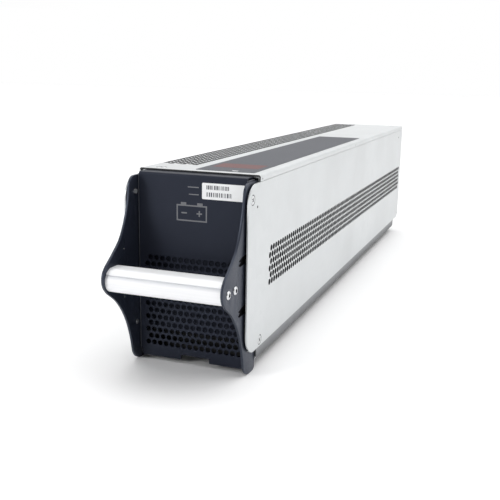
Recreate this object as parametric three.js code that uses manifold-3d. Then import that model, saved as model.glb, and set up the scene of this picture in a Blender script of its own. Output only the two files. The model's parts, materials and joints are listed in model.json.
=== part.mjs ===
// A hot-swap battery module for a server rack: a long sheet-metal case with a dark grille front,
// two shaped ears joined by a fixed aluminium handle bar, eight lead-acid blocks inside in two
// layers, and a floating two-pole connector in the recessed rear.
//
// Millimetres. X is the width, Y the depth (front is -Y), Z up. Positions are written from a
// datum at the front edge of the cover (y = 0) and the foot of the panel's flanges (z = 0). The group
// at the end moves that datum so that the origin is the middle of the underside of the whole part.

import * as THREE from "three";
import { mergeVertices } from "three/addons/utils/BufferGeometryUtils.js";
import Module from "manifold-3d";

const wasm = await Module();
wasm.setup();

// ---------------------------------------------------------------- driving dimensions

const WIDTH = 112;
const HEIGHT = 160;
const DEPTH = 690;
const HALF = WIDTH / 2;
const SHEET = 1.2;
const GAP = 0.3;

// side plates
const SIDE_FRONT = -27.5;
const SIDE_BOTTOM = 10.4;
const SIDE_TOP = 154.3;
const SIDE_INNER = HALF - SHEET;
const SIDE_CORNER = 18;
const SIDE_REAR_CORNER = 8;
const JOGGLE = 1.5;
const SIDE_LIP = 44;
const COVER_BEND = 2;

// tray
const TRAY_FRONT = 2;
const TRAY_REAR = 655.6;
const TRAY_HALF = 54.6;
const TRAY_WALL = 48;
const TRAY_BOTTOM = -3.5;
const TRAY_BEND = 5;

// front panel and ears
const PANEL_FACE = -13.5;
const PANEL_HALF = 50.7;
const PANEL_TOP = HEIGHT - SHEET - GAP;
const PANEL_BOTTOM = -5.7;
const NOTCH_CENTRE = 3;
const NOTCH_WIDTH = 27;
const NOTCH_HEIGHT = 4.5;
const EAR_OUTER = 53;
const EAR_THICK = 2;
const EAR_INNER = EAR_OUTER - EAR_THICK;
const EAR_BOTTOM = -9.5;
const EAR_TOP = 155.5;
const EAR_REAR = 14;
const EAR_HEEL = 1;
const NOSE_Y = -72.5;
const NOSE_Z = 75.5;

// handle bar, a stadium section
const BAR_HEIGHT = 20;
const BAR_DEPTH = 29;
const BAR_FRONT = -69.8;
const BAR_Z = 74.4;
const HANDLE_SCREWS = [-61.2, -46.6];
const HANDLE_SCREW_Z = 73.6;

// side screws, (y, z) on each side plate
const UPPER_SCREW = [-17.3, 141.8];
const LOWER_SCREW = [5.4, 16.1];

// cover
const COVER_FLANGE_BOTTOM = SIDE_TOP + GAP;
const COVER_SCREWS = [[-40, 10.4], [-38, 681], [38, 681]];

// rear panel and its connector
const REAR_FACE = 668;
const REAR_HALF = 52.9;
const REAR_BOTTOM = TRAY_BOTTOM + SHEET + 0.2;
const REAR_FLOOR_HALF = 46.4;
const REAR_FLOOR_FRONT = 640;
const REAR_SCREWS = [[-44, 92], [-44, 146], [40, 112], [40, 144]];
const REAR_VENTS = [84, 92, 100];
const CONNECTOR_Z = 44;
const SHELL_HALF = 27;
const SHELL_HALF_HEIGHT = 14;
const SHELL_FRONT = 657;
const SHELL_REAR = 688.5;
const FLANGE_HALF = 40;
const FLANGE_HALF_HEIGHT = 18;
const FLANGE_THICK = 2.6;
const FLOAT = 1.5;
const SHOULDER_X = 33.5;
const CONTACT_X = 13.5;

// battery blocks, lying on their sides with the lids towards +X
const BLOCK_LENGTH = 151;
const BLOCK_HEIGHT = 65;
const BLOCK_X0 = -50.6;
const BLOCK_X1 = 43.4;
const BLOCK_STEP = 154;
const BLOCK_FRONT = 8;
const LAYERS = [3.2, 90];
const TAB_OUT = 5.6;
const TAB_OFFSET = 60;

// ---------------------------------------------------------------- helpers

function solid(geometry) {
  const bare = geometry.clone();
  bare.deleteAttribute("normal");
  bare.deleteAttribute("uv");
  const merged = mergeVertices(bare, 1e-4);
  const mesh = new wasm.Mesh({
    numProp: 3,
    vertProperties: new Float32Array(merged.attributes.position.array),
    triVerts: new Uint32Array(merged.index.array),
  });
  return new wasm.Manifold(mesh);
}

function geometryOf(manifold) {
  const mesh = manifold.getMesh();
  const geometry = new THREE.BufferGeometry();
  geometry.setAttribute("position", new THREE.BufferAttribute(new Float32Array(mesh.vertProperties), 3));
  geometry.setIndex(new THREE.BufferAttribute(new Uint32Array(mesh.triVerts), 1));
  geometry.computeVertexNormals();
  return geometry;
}

function join(...geometries) {
  return geometries.map(solid).reduce((a, b) => a.add(b));
}

function cut(manifold, ...geometries) {
  return geometries.map(solid).reduce((a, b) => a.subtract(b), manifold);
}

function box(x0, x1, y0, y1, z0, z1) {
  const geometry = new THREE.BoxGeometry(x1 - x0, y1 - y0, z1 - z0);
  return geometry.translate((x0 + x1) / 2, (y0 + y1) / 2, (z0 + z1) / 2);
}

// A solid whose outline is drawn in (x, z) and extruded along Y from y0 to y1.
function alongY(shape, y0, y1, curveSegments = 5) {
  const geometry = new THREE.ExtrudeGeometry(shape, { depth: y1 - y0, bevelEnabled: false, curveSegments });
  return geometry.rotateX(Math.PI / 2).translate(0, y1, 0);
}

// A solid whose outline is drawn in (y, z) and extruded along X from x0 to x1.
function alongX(shape, x0, x1, curveSegments = 5) {
  const geometry = new THREE.ExtrudeGeometry(shape, { depth: x1 - x0, bevelEnabled: false, curveSegments });
  const turn = new THREE.Matrix4().makeBasis(
    new THREE.Vector3(0, 1, 0), new THREE.Vector3(0, 0, 1), new THREE.Vector3(1, 0, 0));
  return geometry.applyMatrix4(turn).translate(x0, 0, 0);
}

// A turned solid: profile is [radius, height] pairs from axis to axis, its height along `axis`.
function turned(profile, axis, [x, y, z], segments = 20) {
  const points = profile.map(([radius, height]) => new THREE.Vector2(radius, height));
  const geometry = new THREE.LatheGeometry(points, segments);
  const turn = new THREE.Quaternion().setFromUnitVectors(
    new THREE.Vector3(0, 1, 0), new THREE.Vector3(...axis));
  return geometry.applyQuaternion(turn).translate(x, y, z);
}

function rod(radius, length, axis, place, segments = 20) {
  return turned([[0, 0], [radius, 0], [radius, length], [0, length]], axis, place, segments);
}

function polygon(points) {
  return new THREE.Shape(points.map(([a, b]) => new THREE.Vector2(a, b)));
}

function roundedRect(a0, a1, b0, b1, r) {
  const shape = new THREE.Shape();
  shape.moveTo(a0 + r, b0);
  shape.lineTo(a1 - r, b0);
  shape.absarc(a1 - r, b0 + r, r, -Math.PI / 2, 0);
  shape.lineTo(a1, b1 - r);
  shape.absarc(a1 - r, b1 - r, r, 0, Math.PI / 2);
  shape.lineTo(a0 + r, b1);
  shape.absarc(a0 + r, b1 - r, r, Math.PI / 2, Math.PI);
  shape.lineTo(a0, b0 + r);
  shape.absarc(a0 + r, b0 + r, r, Math.PI, Math.PI * 1.5);
  return shape;
}

function mirrored(manifold) {
  return manifold.mirror([1, 0, 0]);
}

// ---------------------------------------------------------------- scene graph

const datum = new THREE.Group();

function add(name, shape, look) {
  const geometry = shape.isBufferGeometry ? shape : geometryOf(shape);
  const material = new THREE.MeshStandardMaterial(look);
  const mesh = new THREE.Mesh(geometry, material);
  mesh.name = name;
  datum.add(mesh);
}

const GALVANISED = { color: 0xd6dadb, roughness: 0.38, metalness: 0.9 };
const DARK_PAINT = { color: 0x2f323c, roughness: 0.45, metalness: 0.1 };
const ALUMINIUM = { color: 0xe6e8ee, roughness: 0.28, metalness: 1 };
const ZINC = { color: 0xc9ccce, roughness: 0.35, metalness: 1 };
const BLOCK_CASE = { color: 0x26282b, roughness: 0.55, metalness: 0 };
const COPPER = { color: 0xb98a4e, roughness: 0.3, metalness: 1 };
const LEAD_RED = { color: 0x9e2b25, roughness: 0.5, metalness: 0 };
const LEAD_BLACK = { color: 0x1b1c1e, roughness: 0.5, metalness: 0 };
const CONNECTOR_GREY = { color: 0x4a4d52, roughness: 0.5, metalness: 0 };
const BOARD_GREEN = { color: 0x1f5a3c, roughness: 0.5, metalness: 0 };
const FOAM = { color: 0x3a3b3d, roughness: 0.95, metalness: 0 };
const INSULATOR = { color: 0x222429, roughness: 0.6, metalness: 0 };
const PAPER_WHITE = { color: 0xf2f3f5, roughness: 0.6, metalness: 0 };
const LABEL_GREY = { color: 0x84868b, roughness: 0.5, metalness: 0 };

// ---------------------------------------------------------------- tray

function trayProfile() {
  const inner = TRAY_BEND - SHEET;
  const side = TRAY_HALF - TRAY_BEND;
  const level = TRAY_BOTTOM + TRAY_BEND;
  const shape = new THREE.Shape();
  shape.moveTo(-TRAY_HALF, TRAY_WALL);
  shape.lineTo(-TRAY_HALF, level);
  shape.absarc(-side, level, TRAY_BEND, Math.PI, Math.PI * 1.5);
  shape.lineTo(side, TRAY_BOTTOM);
  shape.absarc(side, level, TRAY_BEND, -Math.PI / 2, 0);
  shape.lineTo(TRAY_HALF, TRAY_WALL);
  shape.lineTo(TRAY_HALF - SHEET, TRAY_WALL);
  shape.lineTo(TRAY_HALF - SHEET, level);
  shape.absarc(side, level, inner, 0, -Math.PI / 2, true);
  shape.lineTo(-side, TRAY_BOTTOM + SHEET);
  shape.absarc(-side, level, inner, Math.PI * 1.5, Math.PI, true);
  shape.lineTo(-TRAY_HALF + SHEET, TRAY_WALL);
  return shape;
}

function bottomTray() {
  const [y, z] = LOWER_SCREW;
  const tray = solid(alongY(trayProfile(), TRAY_FRONT, TRAY_REAR));
  const hole = rod(2.5, WIDTH, [1, 0, 0], [-HALF, y, z]);
  return cut(tray, hole);
}

add("bottom_tray", bottomTray(), GALVANISED);

// ---------------------------------------------------------------- cover

function coverProfile() {
  const inner = COVER_BEND - SHEET;
  const shape = new THREE.Shape();
  shape.moveTo(-HALF, COVER_FLANGE_BOTTOM);
  shape.lineTo(-HALF + SHEET, COVER_FLANGE_BOTTOM);
  shape.lineTo(-HALF + SHEET, HEIGHT - COVER_BEND);
  shape.absarc(-HALF + COVER_BEND, HEIGHT - COVER_BEND, inner, Math.PI, Math.PI / 2, true);
  shape.lineTo(HALF - COVER_BEND, HEIGHT - SHEET);
  shape.absarc(HALF - COVER_BEND, HEIGHT - COVER_BEND, inner, Math.PI / 2, 0, true);
  shape.lineTo(HALF - SHEET, COVER_FLANGE_BOTTOM);
  shape.lineTo(HALF, COVER_FLANGE_BOTTOM);
  shape.lineTo(HALF, HEIGHT - COVER_BEND);
  shape.absarc(HALF - COVER_BEND, HEIGHT - COVER_BEND, COVER_BEND, 0, Math.PI / 2);
  shape.lineTo(-HALF + COVER_BEND, HEIGHT);
  shape.absarc(-HALF + COVER_BEND, HEIGHT - COVER_BEND, COVER_BEND, Math.PI / 2, Math.PI);
  return shape;
}

// Flat-head screw, flush with a sheet. Its profile runs from the tip to the head.
const HEAD_RADIUS = 4.2;
const HEAD_DEPTH = 1.1;
const SHANK = 2;
const CLEARANCE = 2.4;

function flatScrew(length, axis, place) {
  const profile = [[0, 0], [SHANK, 0], [SHANK, length - HEAD_DEPTH], [HEAD_RADIUS, length], [0, length]];
  return turned(profile, axis, place);
}

function flatScrewHole(length, axis, place) {
  const flare = HEAD_RADIUS + GAP + 0.1;
  const neck = length - HEAD_DEPTH - 0.05;
  const mouth = length + 0.05;
  const profile = [[0, -1], [CLEARANCE, -1], [CLEARANCE, neck], [flare, mouth], [0, mouth]];
  return turned(profile, axis, place);
}

const COVER_SCREW_LENGTH = 4.5;
const COVER_SCREW_START = HEIGHT - COVER_SCREW_LENGTH;

function topCover() {
  const cover = solid(alongY(coverProfile(), 0, DEPTH));
  const holes = COVER_SCREWS.map(([x, y]) => (
    flatScrewHole(COVER_SCREW_LENGTH, [0, 0, 1], [x, y, COVER_SCREW_START])));
  return cut(cover, ...holes);
}

add("top_cover", topCover(), GALVANISED);

const COVER_SCREW_NAMES = ["cover_screw_front", "cover_screw_rear_left", "cover_screw_rear_right"];
COVER_SCREWS.forEach(([x, y], i) => {
  add(COVER_SCREW_NAMES[i], flatScrew(COVER_SCREW_LENGTH, [0, 0, 1], [x, y, COVER_SCREW_START]), ZINC);
});

// ---------------------------------------------------------------- side plates

function sideOutline() {
  const r = SIDE_CORNER;
  const q = SIDE_REAR_CORNER;
  const top = HEIGHT - SHEET - GAP;
  const shape = new THREE.Shape();
  shape.moveTo(SIDE_FRONT, SIDE_BOTTOM + r);
  shape.absarc(SIDE_FRONT + r, SIDE_BOTTOM + r, r, Math.PI, Math.PI * 1.5);
  shape.lineTo(DEPTH - q, SIDE_BOTTOM);
  shape.absarc(DEPTH - q, SIDE_BOTTOM + q, q, -Math.PI / 2, 0);
  shape.lineTo(DEPTH, top);
  shape.lineTo(TRAY_FRONT, top);
  shape.lineTo(TRAY_FRONT, SIDE_TOP);
  shape.lineTo(SIDE_FRONT + r, SIDE_TOP);
  shape.absarc(SIDE_FRONT + r, SIDE_TOP - r, r, Math.PI / 2, Math.PI);
  return shape;
}

// Cross-section: a flat wall, a joggle that tucks behind the cover's flange, and a lip under it.
function sideProfile() {
  const top = HEIGHT - SHEET - GAP;
  return polygon([
    [SIDE_INNER, SIDE_BOTTOM - 1],
    [HALF, SIDE_BOTTOM - 1],
    [HALF, SIDE_TOP],
    [HALF - JOGGLE, SIDE_TOP],
    [HALF - JOGGLE, top],
    [SIDE_LIP, top],
    [SIDE_LIP, top - SHEET],
    [HALF - JOGGLE - SHEET, top - SHEET],
    [HALF - JOGGLE - SHEET, SIDE_TOP - SHEET],
    [SIDE_INNER, SIDE_TOP - SHEET],
  ]);
}

const SIDE_SCREW_LENGTH = 6.4;

function sidePlate() {
  const folded = solid(alongY(sideProfile(), SIDE_FRONT - 1, DEPTH + 1));
  const outline = solid(alongX(sideOutline(), SIDE_LIP - 1, HALF + 1, 7));
  const start = HALF - SIDE_SCREW_LENGTH;
  const holes = [UPPER_SCREW, LOWER_SCREW].map(([y, z]) => (
    flatScrewHole(SIDE_SCREW_LENGTH, [1, 0, 0], [start, y, z])));
  return cut(folded.intersect(outline), ...holes);
}

add("side_plate_right", sidePlate(), GALVANISED);
add("side_plate_left", mirrored(sidePlate()), GALVANISED);

for (const [side, sign] of [["right", 1], ["left", -1]]) {
  const start = sign * (HALF - SIDE_SCREW_LENGTH);
  for (const [level, [y, z]] of [["upper", UPPER_SCREW], ["lower", LOWER_SCREW]]) {
    add(`side_screw_${side}_${level}`, flatScrew(SIDE_SCREW_LENGTH, [sign, 0, 0], [start, y, z]), ZINC);
  }
}

// ---------------------------------------------------------------- ears and handle bar

function earOutline() {
  const shape = new THREE.Shape();
  shape.moveTo(EAR_REAR, 14);
  shape.lineTo(EAR_REAR, EAR_TOP);
  shape.lineTo(-18, EAR_TOP);
  shape.absarc(-18, EAR_TOP - 9.5, 9.5, Math.PI / 2, Math.PI);
  shape.splineThru([[-29.5, 134], [-35, 119], [-43.5, 105], [-56, 94.5], [-66.5, 87]].map(toVector));
  shape.splineThru([[-71, 82], [NOSE_Y, NOSE_Z], [-70.5, 69], [-65, 63]].map(toVector));
  shape.splineThru([[-52.5, 54], [-42, 42.5], [-34, 29.5], [-28, 14], [-24.5, 0]].map(toVector));
  shape.quadraticCurveTo(-20.5, EAR_BOTTOM, -10, EAR_BOTTOM);
  shape.lineTo(EAR_HEEL - 4, EAR_BOTTOM);
  shape.absarc(EAR_HEEL - 4, EAR_BOTTOM + 4, 4, -Math.PI / 2, 0);
  shape.lineTo(EAR_HEEL, 8);
  shape.lineTo(EAR_REAR, 14);
  return shape;
}

function toVector([a, b]) {
  return new THREE.Vector2(a, b);
}

const EAR_PINHOLES = [[-38, 95.8], [-38, 53.5], [-17.5, 25.5]];
const PINHOLE = 1.2;

function ear() {
  const plate = solid(alongX(earOutline(), EAR_INNER, EAR_OUTER, 5));
  const screws = [UPPER_SCREW, LOWER_SCREW, ...HANDLE_SCREWS.map((y) => [y, HANDLE_SCREW_Z])];
  const across = [
    ...screws.map((place) => [CLEARANCE, place]),
    ...EAR_PINHOLES.map((place) => [PINHOLE, place]),
  ];
  const holes = across.map(([r, [y, z]]) => (
    rod(r, EAR_THICK + 2, [1, 0, 0], [EAR_INNER - 1, y, z], 12)));
  return cut(plate, ...holes);
}

add("handle_ear_right", ear(), DARK_PAINT);
add("handle_ear_left", mirrored(ear()), DARK_PAINT);

const BAR_HALF = EAR_INNER - 0.05;
const HANDLE_SCREW_REACH = 9;

function handleBar() {
  const r = BAR_HEIGHT / 2;
  const section = roundedRect(BAR_FRONT, BAR_FRONT + BAR_DEPTH, BAR_Z - r, BAR_Z + r, r - 0.01);
  const bar = solid(alongX(section, -BAR_HALF, BAR_HALF, 8));
  const bores = [];
  for (const sign of [1, -1]) {
    HANDLE_SCREWS.forEach((y) => {
      const place = [sign * (BAR_HALF + 1), y, HANDLE_SCREW_Z];
      bores.push(rod(2.3, HANDLE_SCREW_REACH + 2, [-sign, 0, 0], place, 12));
    });
  }
  return cut(bar, ...bores);
}

add("handle_bar", handleBar(), ALUMINIUM);

// Button-head screw with a hexagonal socket.
function handleScrew(sign, y) {
  const profile = [
    [0, -HANDLE_SCREW_REACH], [2, -HANDLE_SCREW_REACH], [2, 0.1], [3.9, 0.1], [3.9, 0.7],
    [3.2, 1.5], [2, 1.9], [0, 1.9],
  ];
  const place = [sign * EAR_OUTER, y, HANDLE_SCREW_Z];
  const screw = solid(turned(profile, [sign, 0, 0], place, 18));
  const socket = rod(1.45, 2, [sign, 0, 0], [sign * (EAR_OUTER + 0.6), y, HANDLE_SCREW_Z], 6);
  return cut(screw, socket);
}

for (const [side, sign] of [["right", 1], ["left", -1]]) {
  HANDLE_SCREWS.forEach((y, i) => {
    add(`handle_screw_${side}_${i + 1}`, handleScrew(sign, y), ZINC);
  });
}

// ---------------------------------------------------------------- front panel

function panelOutline() {
  const half = NOTCH_WIDTH / 2;
  const foot = 47.5;
  return polygon([
    [-PANEL_HALF, PANEL_TOP],
    [-PANEL_HALF, 0],
    [-foot - 0.8, 0],
    [-foot, PANEL_BOTTOM + 0.8],
    [-foot, PANEL_BOTTOM],
    [NOTCH_CENTRE - half, PANEL_BOTTOM],
    [NOTCH_CENTRE - half, PANEL_BOTTOM + NOTCH_HEIGHT],
    [NOTCH_CENTRE + half, PANEL_BOTTOM + NOTCH_HEIGHT],
    [NOTCH_CENTRE + half, PANEL_BOTTOM],
    [foot, PANEL_BOTTOM],
    [foot, PANEL_BOTTOM + 0.8],
    [foot + 0.8, 0],
    [PANEL_HALF, 0],
    [PANEL_HALF, PANEL_TOP],
  ]);
}

function frontPanel() {
  const back = PANEL_FACE + SHEET;
  const face = alongY(panelOutline(), PANEL_FACE, back);
  const top = box(-PANEL_HALF, PANEL_HALF, PANEL_FACE, 1.5, PANEL_TOP - SHEET, PANEL_TOP);
  const tab = box(-43.5, 43.5, 1, 17, PANEL_TOP - SHEET, PANEL_TOP);
  const lip = box(-46, 46, PANEL_FACE, 1.2, -1.2, 0);
  const flanges = [-1, 1].map((sign) => {
    const outer = sign * PANEL_HALF;
    const inner = sign * (PANEL_HALF - SHEET);
    return box(Math.min(outer, inner), Math.max(outer, inner), PANEL_FACE, 1.2, 12, 150);
  });
  const [x, y] = COVER_SCREWS[0];
  const screwHole = rod(CLEARANCE, 6, [0, 0, 1], [x, y, PANEL_TOP - 4]);
  const clearances = [-1, 1].map((sign) => (
    rod(CLEARANCE, 6, [sign, 0, 0], [sign * (PANEL_HALF - 4), ...UPPER_SCREW], 12)));
  return cut(join(face, top, tab, lip, ...flanges), screwHole, ...clearances);
}

add("front_panel", frontPanel(), DARK_PAINT);

const FRONT_LABEL = [9.5, 47.4, 138.9, 152.5];
const LABEL_THICK = 0.3;
const [labelX0, labelX1, labelZ0, labelZ1] = FRONT_LABEL;
const frontLabel = roundedRect(labelX0, labelX1, labelZ0, labelZ1, 1);
add("front_label", alongY(frontLabel, PANEL_FACE - LABEL_THICK, PANEL_FACE, 3), PAPER_WHITE);

const TOP_LABEL = [-7, 47, 9, 408];
add("top_label", box(...TOP_LABEL, HEIGHT, HEIGHT + LABEL_THICK), LABEL_GREY);

// A sheet of insulation close behind the grille, folded back over its top edge.
const BAFFLE_HALF = 48.5;
const BAFFLE_FRONT = -8.5;
const BAFFLE_TOP = 97;

function frontBaffle() {
  const upright = box(-BAFFLE_HALF, BAFFLE_HALF, BAFFLE_FRONT, BAFFLE_FRONT + SHEET, 18, BAFFLE_TOP);
  const fold = box(-BAFFLE_HALF, BAFFLE_HALF, BAFFLE_FRONT, 6, BAFFLE_TOP - SHEET, BAFFLE_TOP);
  return join(upright, fold);
}

add("front_baffle", frontBaffle(), INSULATOR);

// ---------------------------------------------------------------- rear panel

function rearPanel() {
  const outer = REAR_HALF;
  const top = HEIGHT - SHEET - GAP - SHEET - GAP;
  const face = box(-outer, outer, REAR_FACE, REAR_FACE + SHEET, REAR_BOTTOM, top);
  const floor = box(
    -REAR_FLOOR_HALF, REAR_FLOOR_HALF, REAR_FLOOR_FRONT, REAR_FACE + SHEET, REAR_BOTTOM, REAR_BOTTOM + SHEET);
  const roof = box(-outer, outer, REAR_FACE, DEPTH - 2, top - SHEET, top);
  const walls = [-1, 1].map((sign) => {
    const edge = sign * outer;
    const inside = sign * (outer - SHEET);
    return box(Math.min(edge, inside), Math.max(edge, inside), 648, REAR_FACE + SHEET, 50, top);
  });
  const half = SHELL_HALF + FLOAT + 1.5;
  const high = SHELL_HALF_HEIGHT + 1;
  const window = box(-half, half, REAR_FACE - 1, REAR_FACE + 3, CONNECTOR_Z - high, CONNECTOR_Z + high);
  const cuts = [window];
  for (const sign of [-1, 1]) {
    cuts.push(rod(2.3, 6, [0, 1, 0], [sign * SHOULDER_X, REAR_FACE - 2, CONNECTOR_Z], 12));
  }
  COVER_SCREWS.slice(1).forEach(([x, y]) => {
    cuts.push(rod(CLEARANCE, 8, [0, 0, 1], [x, y, top - 4], 12));
  });
  REAR_SCREWS.forEach(([x, z]) => {
    cuts.push(rod(1.9, 6, [0, 1, 0], [x, REAR_FACE - 2, z], 12));
  });
  REAR_VENTS.forEach((z) => cuts.push(box(-34, 34, REAR_FACE - 1, REAR_FACE + 3, z, z + 4)));
  return cut(join(face, floor, roof, ...walls), ...cuts);
}

add("rear_panel", rearPanel(), GALVANISED);

// Pan-head screws that hold the board carrier to the rear panel.
function panScrew(x, z, reach) {
  const profile = [[0, -reach], [1.6, -reach], [1.6, 0.1], [3.2, 0.1], [3.2, 1], [2.4, 2], [0, 2.2]];
  return turned(profile, [0, 1, 0], [x, REAR_FACE + SHEET, z], 16);
}

REAR_SCREWS.forEach(([x, z], i) => {
  add(`rear_screw_${i + 1}`, panScrew(x, z, 5), ZINC);
});

// ---------------------------------------------------------------- floating connector

function connectorShell() {
  const z0 = CONNECTOR_Z - SHELL_HALF_HEIGHT;
  const z1 = CONNECTOR_Z + SHELL_HALF_HEIGHT;
  const flangeFront = REAR_FACE + SHEET + GAP;
  const body = alongY(roundedRect(-SHELL_HALF, SHELL_HALF, z0, z1, 3), SHELL_FRONT, SHELL_REAR, 4);
  const low = CONNECTOR_Z - FLANGE_HALF_HEIGHT;
  const high = CONNECTOR_Z + FLANGE_HALF_HEIGHT;
  const rim = roundedRect(-FLANGE_HALF, FLANGE_HALF, low, high, 4);
  const flange = alongY(rim, flangeFront, flangeFront + FLANGE_THICK, 4);
  const cuts = [];
  for (const sign of [-1, 1]) {
    const x = sign * CONTACT_X;
    cuts.push(box(x - 10.5, x + 10.5, 674, SHELL_REAR + 1, CONNECTOR_Z - 10.5, CONNECTOR_Z + 10.5));
    cuts.push(box(x - 2, x + 2, SHELL_FRONT - 1, 675, CONNECTOR_Z - 6.5, CONNECTOR_Z + 6.5));
    const slot = roundedRect(
      sign * SHOULDER_X - FLOAT - 3, sign * SHOULDER_X + FLOAT + 3,
      CONNECTOR_Z - 3, CONNECTOR_Z + 3, 2.99);
    cuts.push(alongY(slot, flangeFront - 1, flangeFront + FLANGE_THICK + 1, 4));
  }
  return cut(join(body, flange), ...cuts);
}

add("connector_shell", connectorShell(), CONNECTOR_GREY);

function powerContact(sign) {
  const x = sign * CONTACT_X;
  const blade = box(x - 1.6, x + 1.6, 655, 685.5, CONNECTOR_Z - 6, CONNECTOR_Z + 6);
  const barrel = rod(5, 14, [0, 1, 0], [x, 642, CONNECTOR_Z], 16);
  return join(blade, barrel);
}

add("power_contact_positive", powerContact(1), COPPER);
add("power_contact_negative", powerContact(-1), COPPER);

// Shoulder screws: the shoulder is longer than the flange is thick, so the connector floats.
function shoulderScrew(sign) {
  const base = REAR_FACE + SHEET;
  const shoulder = GAP + FLANGE_THICK + GAP;
  const profile = [
    [0, -5], [2, -5], [2, 0.05], [2.6, 0.05], [2.6, shoulder], [5, shoulder],
    [5, shoulder + 2.2], [4.4, shoulder + 2.8], [0, shoulder + 2.8],
  ];
  return turned(profile, [0, 1, 0], [sign * SHOULDER_X, base, CONNECTOR_Z], 18);
}

add("shoulder_screw_right", shoulderScrew(1), ZINC);
add("shoulder_screw_left", shoulderScrew(-1), ZINC);

// ---------------------------------------------------------------- battery blocks

function batteryBlock(y0, z0) {
  const lid = 8;
  const inset = 1.2;
  const tank = box(BLOCK_X0, BLOCK_X1 - lid, y0, y0 + BLOCK_LENGTH, z0, z0 + BLOCK_HEIGHT);
  const step = box(
    BLOCK_X1 - lid - 1, BLOCK_X1,
    y0 + inset, y0 + BLOCK_LENGTH - inset, z0 + inset, z0 + BLOCK_HEIGHT - inset);
  const tabs = [-1, 1].map((sign) => {
    const y = y0 + BLOCK_LENGTH / 2 + sign * TAB_OFFSET;
    const z = z0 + BLOCK_HEIGHT / 2;
    return box(BLOCK_X1 - 1, BLOCK_X1 + TAB_OUT, y - 0.6, y + 0.6, z - 3.2, z + 3.2);
  });
  return join(tank, step, ...tabs);
}

const blockStarts = [0, 1, 2, 3].map((i) => BLOCK_FRONT + i * BLOCK_STEP);
LAYERS.forEach((z0, layer) => {
  blockStarts.forEach((y0, i) => {
    add(`battery_block_${layer * 4 + i + 1}`, batteryBlock(y0, z0), BLOCK_CASE);
  });
});

// Links between neighbouring blocks: a flat strap with a socket at each end that sits on the tabs.
const LINK_X0 = BLOCK_X1 + 1;
const LINK_X1 = BLOCK_X1 + 7.5;

function linkAlong(y0, y1, z) {
  const strap = box(LINK_X1 - 1.5, LINK_X1, y0 - 3, y1 + 3, z - 4, z + 4);
  const sockets = [y0, y1].map((y) => box(LINK_X0, LINK_X1, y - 3, y + 3, z - 5, z + 5));
  const tabRoom = [y0, y1].map((y) => (
    box(LINK_X0 - 1, BLOCK_X1 + TAB_OUT + GAP, y - 0.9, y + 0.9, z - 3.6, z + 3.6)));
  return cut(join(strap, ...sockets), ...tabRoom);
}

function linkUp(y, z0, z1) {
  const strap = box(LINK_X1 - 1.5, LINK_X1, y - 3, y + 3, z0 - 4, z1 + 4);
  const sockets = [z0, z1].map((z) => box(LINK_X0, LINK_X1, y - 3, y + 3, z - 5, z + 5));
  const tabRoom = [z0, z1].map((z) => (
    box(LINK_X0 - 1, BLOCK_X1 + TAB_OUT + GAP, y - 0.9, y + 0.9, z - 3.6, z + 3.6)));
  return cut(join(strap, ...sockets), ...tabRoom);
}

const middles = LAYERS.map((z0) => z0 + BLOCK_HEIGHT / 2);
const frontTabs = blockStarts.map((y0) => y0 + BLOCK_LENGTH / 2 - TAB_OFFSET);
const rearTabs = blockStarts.map((y0) => y0 + BLOCK_LENGTH / 2 + TAB_OFFSET);
middles.forEach((z, layer) => {
  for (let i = 0; i < 3; i += 1) {
    add(`block_link_${layer * 3 + i + 1}`, linkAlong(rearTabs[i], frontTabs[i + 1], z), LEAD_BLACK);
  }
});
add("block_link_7", linkUp(frontTabs[0], ...middles), LEAD_BLACK);

// ---------------------------------------------------------------- leads and fuse

function lead(points, radius = 3.2) {
  const curve = new THREE.CatmullRomCurve3(points.map((p) => new THREE.Vector3(...p)), false, "centripetal");
  const circle = new THREE.Shape();
  circle.absarc(0, 0, radius, 0, Math.PI * 2);
  const options = { steps: 26, bevelEnabled: false, extrudePath: curve, curveSegments: 5 };
  return new THREE.ExtrudeGeometry(circle, options);
}

const lastTab = rearTabs[3];
const leadX = BLOCK_X1 + 4;
const leadStart = lastTab + 1;
const contactEnd = 641.6;

add("lead_negative", lead([
  [leadX, leadStart, middles[0]],
  [leadX, lastTab + 12, middles[0]],
  [leadX - 2, 630, middles[0] - 3],
  [24, 630, 24],
  [-4, 628, 24],
  [-CONTACT_X, 632, 36],
  [-CONTACT_X, 637, CONNECTOR_Z],
  [-CONTACT_X, contactEnd, CONNECTOR_Z],
]), LEAD_BLACK);

const FUSE_BOX = [30, 51, 632, 646, 106, 150];
const [fuseX0, fuseX1, fuseY0, fuseY1, fuseZ0, fuseZ1] = FUSE_BOX;
const fuseX = (fuseX0 + fuseX1) / 2;
const fuseY = (fuseY0 + fuseY1) / 2;

add("lead_positive", lead([
  [fuseX, fuseY, fuseZ0 - GAP],
  [fuseX, fuseY, fuseZ0 - 16],
  [fuseX - 5, fuseY - 5, 76],
  [CONTACT_X + 7, 628, 58],
  [CONTACT_X, 629, 47],
  [CONTACT_X, 636, CONNECTOR_Z],
  [CONTACT_X, contactEnd, CONNECTOR_Z],
]), LEAD_RED);

add("lead_fused", lead([
  [leadX, leadStart, middles[1]],
  [leadX, lastTab + 14, middles[1]],
  [leadX, fuseY0 - GAP, middles[1]],
]), LEAD_RED);

function fuseHolder() {
  const base = box(...FUSE_BOX);
  const channel = box(fuseX0 + 4, fuseX1 - 4, fuseY1 - 8.6, fuseY1 + 1.3, fuseZ0 + 4, fuseZ1 - 4);
  const posts = REAR_SCREWS.slice(2);
  const feet = posts.map(([x, z]) => box(x - 4.5, x + 4.5, fuseY1 - 1, REAR_FACE - GAP, z - 4.5, z + 4.5));
  const bores = posts.map(([x, z]) => rod(1.9, 12, [0, 1, 0], [x, REAR_FACE - 8, z], 12));
  return cut(join(base, ...feet), channel, ...bores);
}

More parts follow.
